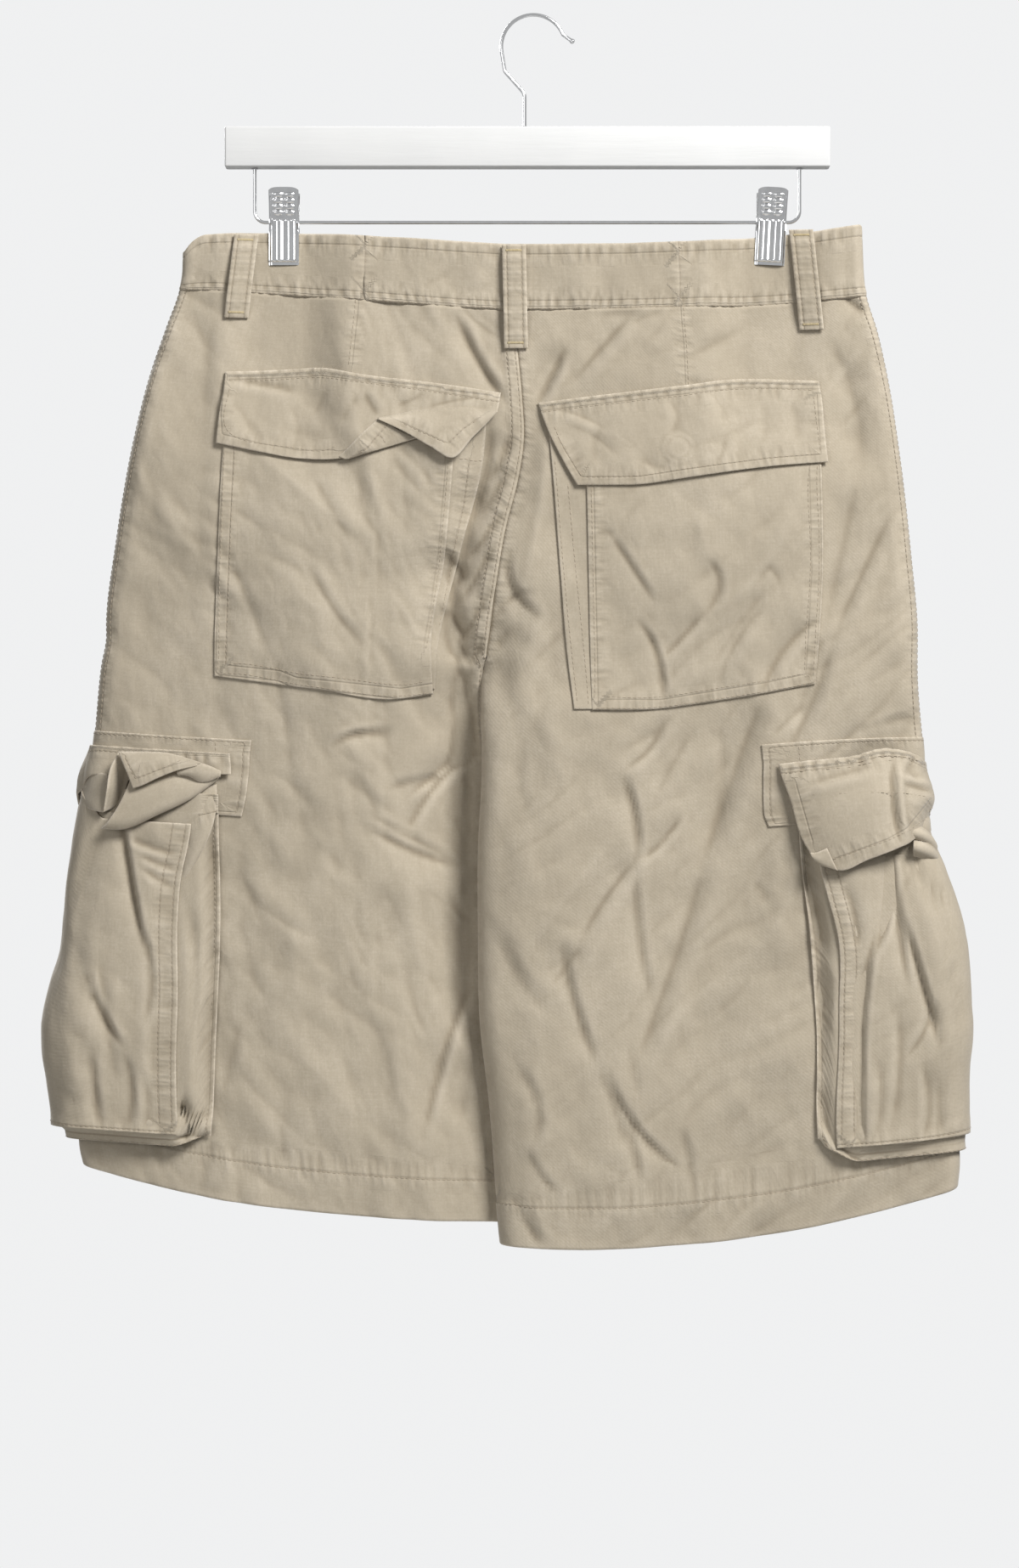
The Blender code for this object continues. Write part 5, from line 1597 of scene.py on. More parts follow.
cloth_piece(
    "cargo_left_flap_base", FLAP_BASE_SIZE, left_flap_base, 0.0, 1.5, free="lrtb",
    seams=[(((0, 0), (190, 0)), 60.0), (((0, 6), (190, 6)), 0.0)],
    nodes=["cargo_left_flap"], held_by=["cargo_left_patch_cloth"], step=1.8,
)
sew("cargo_left_flap_base_stitches", FLAP_BASE_SIZE, left_flap_base, 1.5, [((2, 6), (118, 6))])
formed_piece("cargo_left_flap_side", 4, """
-279.8,-473.9,2 -275.5,-475,9 -270.7,-475.5,14 -265.4,-476.6,17
-282,-486.2,2 -277.1,-487.3,12 -271.3,-488.3,18 -265.4,-488.9,21
-283.6,-493.1,2 -278.2,-494.2,13 -272.3,-495.8,20 -265.9,-496.4,23
-282.5,-495.8,3 -277.7,-497.7,14 -272.9,-499.3,20 -267.5,-500.4,23
""", thick=1.6, held_by=["cargo_left_flap_base"],
)
formed_piece("cargo_left_flap_under", 5, """
-279.8,-495.8,2 -274.5,-498,9 -269.1,-499.6,14 -262.7,-500.6,18 -255.3,-502.2,20
-278.7,-501.7,4 -273.4,-503.3,11 -268.1,-504.4,16 -261.7,-504.9,20 -254.2,-505.4,22
-275,-507.6,7 -271.3,-508.6,12 -266.5,-509.2,17 -260.6,-509.7,21 -253.1,-508.6,22
""", thick=1.6, held_by=["cargo_left_flap_base"],
)
formed_piece("cargo_left_flap_cone", 4, """
-259,-463,22 -258.2,-463.2,22 -256.9,-463.8,22 -255.3,-464.3,21
-263.8,-472.9,26 -260.6,-472.9,23.5 -256.3,-472.9,20 -251.5,-472.9,18
-265.9,-486.2,28 -262.7,-485.1,24 -258.5,-484.1,19 -253.7,-482.5,17
-268.1,-499.8,26 -265.4,-498.5,21 -261.7,-496.4,17 -257.4,-493.7,16
""", thick=1.3, held_by=["cargo_left_flap_base"],
)
formed_piece("cargo_left_flap_band", 5, """
-249.9,-477.7,24 -236.6,-471.8,22 -221.6,-471.8,21 -208.3,-475,21 -195.4,-473.9,20
-253.7,-487.3,27 -238.2,-484.1,27 -223.2,-480.9,26 -208.3,-480.3,24 -195.4,-476.1,21
-259.5,-498.5,28 -244.6,-495.8,28.5 -227.5,-489.9,28 -210.4,-484.6,26 -196,-477.1,22
-265.4,-506.5,27.5 -251,-506,28 -231.8,-498,28 -213.1,-489.4,26 -197,-478.2,22
-269.1,-509.7,25 -255.3,-510.2,25.5 -235,-501.4,26 -215.2,-491.8,25 -198.1,-479.3,21.5
""", thick=1.6, held_by=["cargo_left_flap_base"],
)
formed_piece("cargo_left_flap_eye", 5, """
-221.6,-474.7,26 -213.6,-471.3,26.5 -207.2,-469.7,26.5 -200.8,-471.8,26 -194.9,-475.3,24
-221.6,-475.3,27 -213.6,-473.9,28 -206.7,-474.5,28 -200.8,-475,27 -194.9,-476.1,25
-221.1,-475.8,26 -213.6,-477.7,26.5 -207.2,-481.1,26 -201.9,-480.6,25.5 -195.4,-477.1,24
""", thick=1.6, held_by=["cargo_left_flap_band"], step=1.2,
)
formed_piece("cargo_left_flap_turned", 5, """
-258.5,-462.7,25 -244.6,-462.7,26 -228.6,-463.5,26 -216.8,-466.4,26.5 -206.7,-469.7,27
-255.3,-469.7,28.5 -243.5,-469.1,29.5 -229.6,-468.6,29 -218.4,-469.4,28.5 -207.7,-470.5,27.5
-252,-476.6,30 -244.6,-476.1,31 -232.8,-473.9,30.2 -220.5,-472.3,29.2 -208.8,-471,28
-248.6,-485.4,30.6 -243,-483.5,31 -232.3,-478.5,30.6 -221.1,-474.2,29.5 -209.3,-471.5,28.2
""", thick=1.5, held_by=["cargo_left_flap_band"], step=1.2,
    seams=seam_lines("0 -254.2,-465.9 -246.7,-479.3 -232.3,-473.9 -220,-469.7"),
    stitches=paths("""
-253.7,-466.4 -249.4,-474.5 -246.4,-479.3
-245.6,-479 -232.3,-473.4 -218.4,-468.1
"""),
)
formed_piece("cargo_left_mouth", 5, """
-251,-503.3,16 -239.2,-499,16.5 -227,-493.1,17 -216.8,-487.8,17 -207.2,-483.5,17
-249.9,-509.7,17 -238.2,-508.6,17.5 -227,-505.4,18 -215.7,-500.6,18.5 -205.6,-495.8,18.5
-248.8,-518.2,16 -237.1,-518.2,16.5 -227,-517.2,17 -215.7,-512.9,17.5 -207.2,-510.2,18
""", thick=1.3, held_by=["cargo_left_pocket_face"],
)
formed_piece("cargo_left_gusset", 4, """
-216.8,-492.9,21 -209.9,-488.3,21.5 -203.5,-484.6,21 -197.6,-482.7,19.5
-213.6,-503.3,22 -207.7,-501.7,23 -202.4,-500.1,23 -197.6,-496.4,21.5
-213.6,-515,22.5 -209.9,-514,24 -205.1,-511.8,24.5 -200.2,-509.2,23
-216.8,-527.9,22 -213.6,-526.8,24 -209.9,-525.2,24.5 -206.7,-523.6,23
-219.5,-539.6,21.5 -217.9,-539.1,22.5 -216,-538,23 -214.1,-536.4,22
-222.1,-548.2,20.5 -221.3,-547.6,20.8 -220.5,-547.1,20.8 -219.5,-546,20.4
""", thick=1.3, held_by=["cargo_left_pocket_face"],
    seams=seam_lines("0 -214.7,-503.8 -205.6,-501.7 -197.6,-499.8"),
    stitches=paths("-212.5,-503.3 -205.6,-501.4 -198.6,-499.6"),
)
RIGHT_CARGO_SEAM = (
    (152.7, -470.2), (177.3, -468.1), (198.6, -465.6), (220, -460.6), (230.7, -461.6),
    (245.6, -467.5),
)
RIGHT_CARGO_PUCKERS = puckers(RIGHT_CARGO_SEAM, 0.5, 6.0, 7.2, 0.8, seed=6)


def right_flap_creases(x, z):
    """The deep crease, the folds round it, and the puckers at the seam."""
    creases = table("""
225.3,-464.8 223.7,-489.4 228.6,-523.6 4 1 -2.2
225.3,-481.9 238.2,-484.1 249.9,-488.3 2.4 1 -1
230.7,-469.1 235,-475.5 240.3,-483 1.6 2.4 1
163.4,-484.6 188,-477.7 217.9,-469.7 1.4 1.6 1
246.7,-488.9 244.6,-499.6 236,-510.2 1 2.5 0.6
190.6,-486.2 198.6,-507.6 194.4,-528.9 -0.9 9 0
215.7,-486.2 216.8,-502.2 214.7,-518.2 0.7 4 0.4
""")
    return pressed(creases, x, z) + RIGHT_CARGO_PUCKERS(x, z)


formed_piece("cargo_right_flap_main", 11, """
152.7,-470.2,19 171.9,-468.1,20 198.6,-465.4,20 220,-460.6,17 233.9,-462.7,13 243,-466.4,6
246.2,-469.1,-2 241.4,-467.5,-12 220,-466.4,-17 193.3,-466.4,-19 166.6,-466.4,-20
154.3,-476.6,20 173,-474.5,22.5 199.2,-471.8,23.5 221.1,-468.1,21 235,-470.2,16 243.5,-472.9,8
246.7,-475.5,-1 242.4,-474.5,-13 220,-472.9,-20 193.3,-472.9,-22 166.6,-472.9,-22
160.2,-492.6,21.5 177.3,-490.5,27 201.3,-487.8,30 223.2,-486.2,28 237.1,-486.7,22 247.2,-488.9,12
250.7,-491.5,1 245.6,-490.5,-14 220,-489.4,-23 193.3,-489.4,-25 166.6,-489.4,-24.5
166.1,-514,24.5 182.6,-511.8,30 203.5,-508.1,31.5 223.2,-503.8,29.5 235,-500.6,24 244.6,-498.5,13
248.6,-500.6,2 244.6,-502.2,-13 220,-510.8,-24 193.3,-514,-26 166.6,-512.9,-25.5
173.6,-527.9,26.8 189,-536.1,30.2 207.7,-529.5,31 224.3,-523.1,29.5 233.4,-518.8,25
240.8,-512.9,15 245.1,-508.6,4 243,-515,-12 220,-526.8,-23.5 193.3,-531.1,-25.5 166.6,-530,-25
""", thick=1.5, extra=right_flap_creases, nodes=["cargo_right_flap"],
    held_by=["cargo_right_patch_cloth"],
    seams=[(RIGHT_CARGO_SEAM, 60)] + seam_lines("""
0 153.3,-476.1 177.3,-473.4 198.6,-470.7 212,-466.4 220,-464.8 231.8,-466.4 245.6,-472.9
0 163.4,-483 170.9,-510.2 173.6,-519.3
0 186.9,-528.9 201.3,-523.6 220,-516.6 231.8,-510.2 247.8,-492.6
"""),
    stitches=paths("""
154.9,-476.1 177.3,-473.4 198.6,-470.7 212,-467 220,-465.4 231.8,-467
163.9,-484.1 167.1,-495.8 170.9,-508.6 173,-517.2
188,-528.9 201.3,-523.6 220,-516.6 230.7,-511.3 238.2,-504.9 246.7,-493.7
"""),
)
formed_piece("cargo_right_flap_tip", 4, """
171.4,-525.2,29.5 174.6,-525.5,30 178.4,-524.1,30.5 182.1,-522.3,31
172.5,-527.3,30.2 175.7,-527.9,31 180,-526.8,31.4 183.7,-525.7,31.8
174.6,-529.5,30.4 177.8,-530.5,31 182.1,-531.1,31.6 185.8,-530.5,32
178.4,-532.4,30 181.6,-533.5,30.6 185.3,-534.8,31 188.8,-536.1,31.4
""", lift=0.2, thick=1.0, held_by=["cargo_right_flap_main"], step=1.0,
)
formed_piece("cargo_right_mouth", 4, """
233.9,-507.6,18 241.4,-509.7,15 246.7,-513.4,9 249.9,-517.2,1
235,-512.4,24 243,-514.5,21 248.8,-517.7,14 252.6,-522,4
236.6,-517.2,20 244,-518.8,18 249.4,-522,12 252.6,-525.7,3
236,-521.5,24 244,-523.6,21 250.4,-526.8,14 254.2,-530.5,4
237.1,-526.8,18 244.6,-528.9,15 250.4,-531.6,8 253.7,-534.8,0
""", thick=1.6, held_by=["cargo_right_pocket_face"], step=1.2,
)

# ---- Fly ----
# The left front's edge is doubled into a placket over the zip, and held by a J of stitches.
PLACKET_SIZE = (40.0, 104.0)


def placket(s, t, lift):
    """The strip down the left front's edge."""
    leg = LEGS["left"]
    q = ROW["waist"] + 0.05 + (ROW["flap_low"] + 0.62 - ROW["waist"]) * t
    # The lower corner is cut round
    wide = 1 - 0.75 * smooth((t - 0.72) / 0.28) ** 2
    return leg.cloth(-3.97 + 1.90 * wide * s, q, lift)


cloth_piece(
    "fly_placket_cloth", PLACKET_SIZE, placket, 0.35, 1.2, free="lrb",
    seams=[(((1, 0), (1, 104)), 0.0), (((36, 0), (36, 104)), 1.5)], nodes=["fly_placket"],
    held_by=["left_front_cloth"],
)
sew(
    "fly_placket_stitches", PLACKET_SIZE, placket, 1.55,
    [((36, 1), (36, 102)), ((33, 1), (33, 101)), ((4, 1), (4, 102))],
)

# ---- Waistband ----
# A straight band of doubled twill in three lengths, joined behind the hips and closed at the fly.
# A row of stitches runs under its top edge and two along the seam that holds the panels.
BAND_DOWN = ROW["waist"] + 0.03
CORNER_DROP, CORNER_RUN = 9.0, 14.0


def around(g, q, lift, creased=0.45):
    """The whole garment: g runs from the fly (-4) by the left side (0) and the centre back (4)
    to the right side (8) and the fly again (12)."""
    on_left = (g <= 4)[..., None]
    left = LEGS["left"].cloth(np.minimum(g, 4), q, lift, creased)
    right = LEGS["right"].cloth(np.clip(8 - g, -4, 4), q, lift, creased)
    return np.where(on_left, left, right)


BAND_PIECES = (
    # name, first and last place round the waist, what holds it
    ("left", -3.985, 1.704, ["clip_left_back_jaw"]),
    ("back", 1.696, 6.304, ["waistband_left", "waistband_right"]),
    ("right", 6.296, 11.985, ["clip_right_back_jaw"]),
)
BAND_HIGH = 40.0
# How far below the band's top edge its three rows of stitches run
TOP_ROW, JOIN_ROW, FOOT_ROW = 6.4, 34.2, 38.6


def band_length(first, last, count=400):
    """Places round the waist at equal lengths, and the whole length in mm."""
    g = np.linspace(first, last, count)
    line = around(g, np.full(count, 0.5), np.zeros(count), 0)
    return g, added_up(np.linalg.norm(np.diff(line, axis=0), axis=1))


for band_name, band_first, band_last, band_holders in BAND_PIECES:
    places, lengths = band_length(band_first, band_last)

    def band(s, t, lift):
        points = around(np.interp(s * lengths[-1], lengths, places), BAND_DOWN * t, lift)
        if band_name == "left":
            from_side = points[:, 0] - LEFT_ROWS["band_top"][4]
            points[:, 2] -= CORNER_DROP * np.clip(1 - from_side / CORNER_RUN, 0, 1) ** 2 * (1 - t)
        return points

    def band_lift(s, t):
        """Soft pleats between the seam and the row above it, and a ridge along each row."""
        along = s * lengths[-1]
        down = t * BAND_HIGH
        pleat = 0.55 * np.sin(along * 0.95 + 2.0 * np.sin(along * 0.17)) * bump(down - 36, 3.5)
        top = 0.4 * np.sin(along * 0.7 + 1.9 * np.sin(along * 0.13)) * bump(down - 4, 4)
        top = top + 0.9 * lattice_noise(5, along / 9 + 60, down / 16)
        rows = 0.3 * bump(down - TOP_ROW, 0.8) + 0.35 * bump(down - JOIN_ROW, 0.8)
        joined = 0.3 * bump(along, 1.0) * (band_name != "left")
        joined = joined + 0.3 * bump(lengths[-1] - along, 1.0) * (band_name != "right")
        tucked = 1.1 * smooth((down - 37.5) / 2.5)
        return -1.7 + pleat + top - rows - joined - tucked

    band_size = (lengths[-1], BAND_HIGH)
    wide = lengths[-1]
    cloth_piece(
        f"waistband_{band_name}_cloth", band_size, band, band_lift, 2.6,
        free={"left": "lt", "back": "t", "right": "rt"}[band_name], held_by=band_holders,
        nodes=[f"waistband_{band_name}"], step=1.7,
        seams=[(((0, down), (wide, down)), 0.0) for down in (TOP_ROW, JOIN_ROW, BAND_HIGH)]
        + [(((along, 0), (along, BAND_HIGH)), 0.0) for along in (0, wide)],
    )
    sew(
        f"waistband_{band_name}_stitches", band_size, band,
        lambda s, t: band_lift(s, t) + 2.55,
        [((2, down), (wide - 2, down)) for down in (TOP_ROW, JOIN_ROW, FOOT_ROW)],
    )

# ---- Belt loops ----
# Folded strips of twill with two rows of stitches. Their top ends are turned in over the band's
# edge and their feet are bar tacked below it. One at the centre back, two behind, two in front.
LOOP_WIDE = 15.0
LOOP_ROWS = (2.8, 12.2)
LOOPS = (
    # name, middle at its top and at its foot, the leg it is sewn to
    ("back_left", (-180, -137.8), (-186.4, -190.4), "left"),
    ("centre", (-12.3, -145), (-10.9, -210.1), "left"),
    ("back_right", (167.9, -134.6), (174.6, -197.8), "right"),
)


def loop_rise(down, whole):
    """How far a loop stands off the band, down its length."""
    ends = np.minimum(down, whole - down)
    return 0.7 + 1.5 * smooth(ends / 12)


TACK_THREAD = make_twill("tack_thread", (0.46, 0.37, 0.20), (0.32, 0.25, 0.13), (0.56, 0.48, 0.33))


def belt_loop(name, strip_point, whole, nodes):
    """A loop whole mm long, its two rows of stitches, and its bar tacks."""
    size = (LOOP_WIDE, whole)

    def lift(s, t):
        across = np.abs(s - 0.5) * 2
        over_band = 1.0 * (1 - smooth((t * whole - 0.62 * whole) / 14))
        groove = 0.35 * bump((across - 0.62) * LOOP_WIDE / 2, 0.7)
        return loop_rise(t * whole, whole) + over_band - groove - 0.3 * across**4

    cloth_piece(
        f"belt_loop_{name}_strip", size, strip_point, lift, 1.7, free="lrtb", nodes=nodes,
        held_by=["waistband_back_cloth"], step=1.3,
        seams=[(((row, 0), (row, whole)), 0.0) for row in LOOP_ROWS],
    )
    rows = [((row, 2), (row, whole - 2)) for row in LOOP_ROWS]
    sew(f"belt_loop_{name}_stitches", size, strip_point, lambda s, t: lift(s, t) + 1.7, rows)
    tacks = [
        ((2 + k % 2, y + 0.12 * k), (13 - k % 2, y + 0.12 * k))
        for y in (3.0, whole - 4.0) for k in range(9)
    ]
    tack = sew(
        f"belt_loop_{name}_tacks", size, strip_point, lambda s, t: lift(s, t) + 1.75, tacks,
        pitch=2.1, length=2.2, radius=0.24,
    )
    tack.data.materials[0] = TACK_THREAD


for loop_name, loop_top, loop_foot, loop_leg in LOOPS:
    loop_whole = math.hypot(loop_top[0] - loop_foot[0], loop_top[1] - loop_foot[1])

    def strip_point(s, t, lift):
        x = loop_top[0] + (loop_foot[0] - loop_top[0]) * t + (s - 0.5) * LOOP_WIDE
        z = loop_top[1] + (loop_foot[1] - loop_top[1]) * t
        return LEGS[loop_leg].over(x, z, lift, 0.45)

    belt_loop(loop_name, strip_point, loop_whole, [f"belt_loop_{loop_name}"])

FRONT_LOOPS = (("front_left", -1.656, -1.55), ("front_right", 9.55, 9.656))
for loop_name, loop_first, loop_last in FRONT_LOOPS:

    def strip_point(s, t, lift):
        return around(loop_first + (loop_last - loop_first) * s, 0.02 + 1.75 * t, lift)

    belt_loop(loop_name, strip_point, 56.0, [f"belt_loop_{loop_name}"])

# ---- Waist button ----
# A four-holed resin button with a raised rim, sewn through the band's left end at the fly.
BUTTON_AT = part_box("waist_button")
button_low, button_high = (np.array(corner) for corner in BUTTON_AT)
button_middle = (button_low + button_high) / 2 / MM
button_mesh = bmesh.new()
BUTTON_PROFILE = (
    (0, 0.6), (5.4, 0.6), (6.2, 1.3), (7.4, 1.4), (8.3, 0.9), (8.5, 0), (8.2, -1.0), (7.2, -1.4),
    (0, -1.4),
)
profile = [button_mesh.verts.new((radius, 0, height)) for radius, height in BUTTON_PROFILE]
edges = [button_mesh.edges.new(pair) for pair in zip(profile, profile[1:])]
bmesh.ops.spin(
    button_mesh, geom=profile + edges, axis=(0, 0, 1), cent=(0, 0, 0), angle=2 * math.pi, steps=40,
    use_merge=True,
)
bmesh.ops.remove_doubles(button_mesh, verts=button_mesh.verts[:], dist=1e-3)
bmesh.ops.recalc_face_normals(button_mesh, faces=button_mesh.faces[:])
turn_out = Matrix.Rotation(-math.pi / 2, 4, "X")
bmesh.ops.transform(button_mesh, matrix=turn_out, verts=button_mesh.verts[:])
bmesh.ops.translate(button_mesh, vec=button_middle.tolist(), verts=button_mesh.verts[:])
bmesh.ops.scale(button_mesh, vec=(MM, MM, MM), verts=button_mesh.verts[:])


def solid_piece(name, mesh, material, nodes=()):
    """A hard piece of the object."""
    data = bpy.data.meshes.new(name)
    mesh.to_mesh(data)
    mesh.free()
    data.shade_smooth()
    data.set_sharp_from_angle(angle=math.radians(35))
    finished(name, data, material, nodes)


RESIN, resin_shader, resin_start = new_material("button_resin_swirled")
resin_where = resin_start.node("ShaderNodeTexCoord", out=3)
swirl = resin_start.noise(resin_where, 160.0, 3.0, 0.6)
resin_dye = resin_start.dye(0.30, 0.22, 0.14).mix((0.52, 0.42, 0.29, 1), swirl)
feed(resin_shader, "Base Color", resin_dye)
feed(resin_shader, "Roughness", swirl * 0.25 + 0.28)
solid_piece("waist_button_rimmed", button_mesh, RESIN, ["waist_button"])

holes = bmesh.new()
for across, up in ((-1, -1), (-1, 1), (1, -1), (1, 1)):
    spot = button_middle + np.array([across * 1.5, 0.75, up * 1.5])
    for turned in (-0.35, 0.35):
        shape = Matrix.Translation(spot * MM) @ Matrix.Rotation(turned * across * up, 4, "Y")
        shape = shape @ Matrix.Diagonal((1.9 * MM, 0.4 * MM, 0.45 * MM, 1))
        bmesh.ops.create_uvsphere(holes, u_segments=10, v_segments=6, radius=1, matrix=shape)
solid_piece("waist_button_thread", holes, THREAD)

# ---- Hanger ----
# A straight bar of painted wood. A chrome hook is screwed into its top, and the two ends of a bent
# chrome wire into its underside.
PAINT, paint_shader, paint_start = new_material("white_painted_wood_brushed")
paint_where = paint_start.node("ShaderNodeTexCoord", out=3)
grain_lines = paint_start.noise(paint_where.stretched((12.0, 160.0, 160.0)), 1.0, 4.0, 0.6)
paint_patches = paint_start.noise(paint_where, 30.0, 3.0, 0.5)
paint_scuffs = paint_start.noise(paint_where.stretched((60.0, 300.0, 300.0)), 1.0, 5.0, 0.7)
paint_dye = paint_start.dye(0.63, 0.63, 0.62).mix((0.69, 0.687, 0.675, 1), paint_patches)
scuffed = ((paint_scuffs - 0.66) * 6.0).at_least(0.0).at_most(1.0)
feed(paint_shader, "Base Color", paint_dye.mix((0.62, 0.59, 0.54, 1), scuffed * 0.5))
feed(paint_shader, "Roughness", grain_lines * 0.2 + 0.38)
paint_relief = grain_lines + paint_patches * 0.5
paint_bump = paint_start.node("ShaderNodeBump", Height=paint_relief, Strength=0.3, Distance=0.0006)
feed(paint_shader, "Normal", paint_bump)

bar_low, bar_high = (np.array(corner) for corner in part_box("hanger_bar"))
bar_mesh = bmesh.new()
bmesh.ops.create_cube(bar_mesh, size=1)
bmesh.ops.scale(bar_mesh, vec=(bar_high - bar_low).tolist(), verts=bar_mesh.verts[:])
bmesh.ops.translate(bar_mesh, vec=((bar_high + bar_low) / 2).tolist(), verts=bar_mesh.verts[:])
bmesh.ops.bevel(
    bar_mesh, geom=bar_mesh.edges[:], offset=1.3 * MM, segments=4, profile=0.5, affect="EDGES",
    material=-1,
)
solid_piece("hanger_bar_painted", bar_mesh, PAINT, ["hanger_bar"])

CHROME, chrome_shader, chrome_start = new_material("chrome_handled")
chrome_where = chrome_start.node("ShaderNodeTexCoord", out=3)
smears = chrome_start.noise(chrome_where, 180.0, 4.0, 0.65)
chrome_dye = chrome_start.dye(0.80, 0.805, 0.81).mix((0.55, 0.55, 0.555, 1), smears)
feed(chrome_shader, "Base Color", chrome_dye)
feed(chrome_shader, "Roughness", smears * 0.16 + 0.08)
chrome_shader.inputs["Metallic"].default_value = 1.0
chrome_bump = chrome_start.node("ShaderNodeBump", Height=smears, Strength=0.08, Distance=0.0003)
feed(chrome_shader, "Normal", chrome_bump)


def wire(name, path, radius, nodes=(), swell=()):
    """A round chrome wire along points, with its last few radii scaled by swell."""
    data = bpy.data.curves.new(name, "CURVE")
    data.dimensions = "3D"
    data.bevel_depth = radius * MM
    data.bevel_resolution = 5
    data.use_fill_caps = True
    spline = data.splines.new("POLY")
    spline.points.add(len(path) - 1)
    for point, place in zip(spline.points, path):
        point.co = (*(np.array(place, float) * MM), 1)
    for back, factor in enumerate(reversed(swell), 1):
        spline.points[-back].radius = factor
    curve = bpy.data.objects.new(name + "_curve", data)
    bpy.context.scene.collection.objects.link(curve)
    depth = bpy.context.evaluated_depsgraph_get()
    turned = bpy.data.meshes.new_from_object(curve.evaluated_get(depth))
    bpy.data.objects.remove(curve)
    mesh = bmesh.new()
    mesh.from_mesh(turned)
    bpy.data.meshes.remove(turned)
    solid_piece(name, mesh, CHROME, nodes)


def rounded(corners, steps=9):
    """A path of (x, z, radius) in the hanger's plane with its corners turned to arcs."""
    path = [np.array(corners[0][:2], float)]
    for before, corner, after in zip(corners, corners[1:], corners[2:]):
        here = np.array(corner[:2], float)
        back, ahead = np.array(before[:2]) - here, np.array(after[:2]) - here
        back, ahead = back / np.linalg.norm(back), ahead / np.linalg.norm(ahead)
        half = math.acos(float(np.clip(back @ ahead, -1, 1))) / 2
        centre = here + (back + ahead) / np.linalg.norm(back + ahead) * corner[2] / math.sin(half)
        start = here + back * corner[2] / math.tan(half) - centre
        end = here + ahead * corner[2] / math.tan(half) - centre
        for k in range(steps + 1):
            mid = start + (end - start) * k / steps
            path.append(centre + mid / np.linalg.norm(mid) * corner[2])
    path.append(np.array(corners[-1][:2], float))
    return path


HOOK_CENTRE_Z, HOOK_RADIUS, SHANK_X = -19.0, 20.15, -5.5
hook_start = math.radians(189)


def on_hook(angle):
    """The x and z of a place on the hook's round bend."""
    return np.array([0, HOOK_CENTRE_Z]) + HOOK_RADIUS * np.array([math.cos(angle), math.sin(angle)])


hook_left = on_hook(hook_start)
hook_below = hook_left + 12.5 * np.array([-math.sin(hook_start), math.cos(hook_start)])
hook = rounded([(SHANK_X, -78, 0), (SHANK_X, -48.5, 6), (*hook_below, 5), (*hook_left, 0)])
hook += [on_hook(angle) for angle in np.radians(np.linspace(187, 22, 60))]
hook_tip = np.array([25.6, -16.3])
hook_out = (hook_tip - hook[-1]) / np.linalg.norm(hook_tip - hook[-1])
hook += [hook_tip - hook_out * back for back in (3.0, 2.4, 1.9, 1.3, 0.7, 0.25, 0.0)]
wire(
    "hanger_hook_wire", [(x, 0, z) for x, z in hook], 1.15, ["hanger_hook"],
    swell=(1.0, 1.15, 1.4, 1.5, 1.4, 1.0, 0.45),
)
FRAME_X, FRAME_Z, BAR_FOOT = (-175.2, 167.4), -129.5, -95.3
frame_path = rounded([
    (FRAME_X[0], BAR_FOOT + 7, 0), (FRAME_X[0], FRAME_Z, 7), (FRAME_X[1], FRAME_Z, 7),
    (FRAME_X[1], BAR_FOOT + 7, 0),
])
wire("hanger_frame_wire", [(x, 0, z) for x, z in frame_path], 1.1, ["hanger_wire"])
collars = bmesh.new()
for collar_x, collar_z, collar_radius in (
    (FRAME_X[0], BAR_FOOT - 0.3, 2.3), (FRAME_X[1], BAR_FOOT - 0.3, 2.3), (SHANK_X, -69.4, 2.4),
):
    seat = Matrix.Translation(np.array([collar_x, 0, collar_z]) * MM)
    bmesh.ops.create_cone(
        collars, cap_ends=True, segments=24, radius1=collar_radius * MM,
        radius2=collar_radius * 0.7 * MM, depth=0.9 * MM, matrix=seat,
    )
solid_piece("hanger_collars", collars, CHROME)

# ---- Clips ----
# Two plates of pressed chrome steel pinch the band between them, closed by a spring round the
# wire they slide on. The plates have raised grips above it and four flutes below.
CLIP_WIDE, CLIP_HIGH, CLIP_SHEET = 18.8, 48.0, 1.0
CLIP_FOOT = -27.2
COIL_WIDE, COIL_RADIUS, COIL_STEPS, COIL_TURN = 12.0, 2.0, 240, 0.314
CLIP_LEAN = {"left": 0.0, "right": math.radians(2.8)}
JAW = (
    # height over the wire, how far it stands off, and how far its sides turn in
    (20.8, 9.5, 0.5), (15, 8, 2), (8, 6, 2.4), (0, 4.2, 2.4), (-6, 3.7, 0.6), (-10, 3.5, 0.3),
    (-20, 3.3, 0.3), (-27.2, 3.1, 0),
)


def jaw_relief(x, height):
    """The pressing: grips in the top third, flutes, and a sunk lower edge."""
    flutes = np.abs(np.cos(np.pi * x / 3.6)) ** 0.6
    fluted = smooth((height + 25.2) / 1.2) * smooth((1.6 - height) / 1.6) * (np.abs(x) < 7.3)
    rows = (height - 5.2) / 3.6
    row_middle = np.clip(np.round(rows), 0, 3)
    oval = 1 - ((np.abs(x) - 3.6) / 3.4) ** 2 - ((rows - row_middle) * 3.6 / 1.55) ** 2
    grips = np.sqrt(np.clip(oval, 0, 1))
    sunk = 0.7 * smooth((-24.6 - height) / 0.8)
    return 0.75 * flutes * fluted + 1.1 * grips - sunk


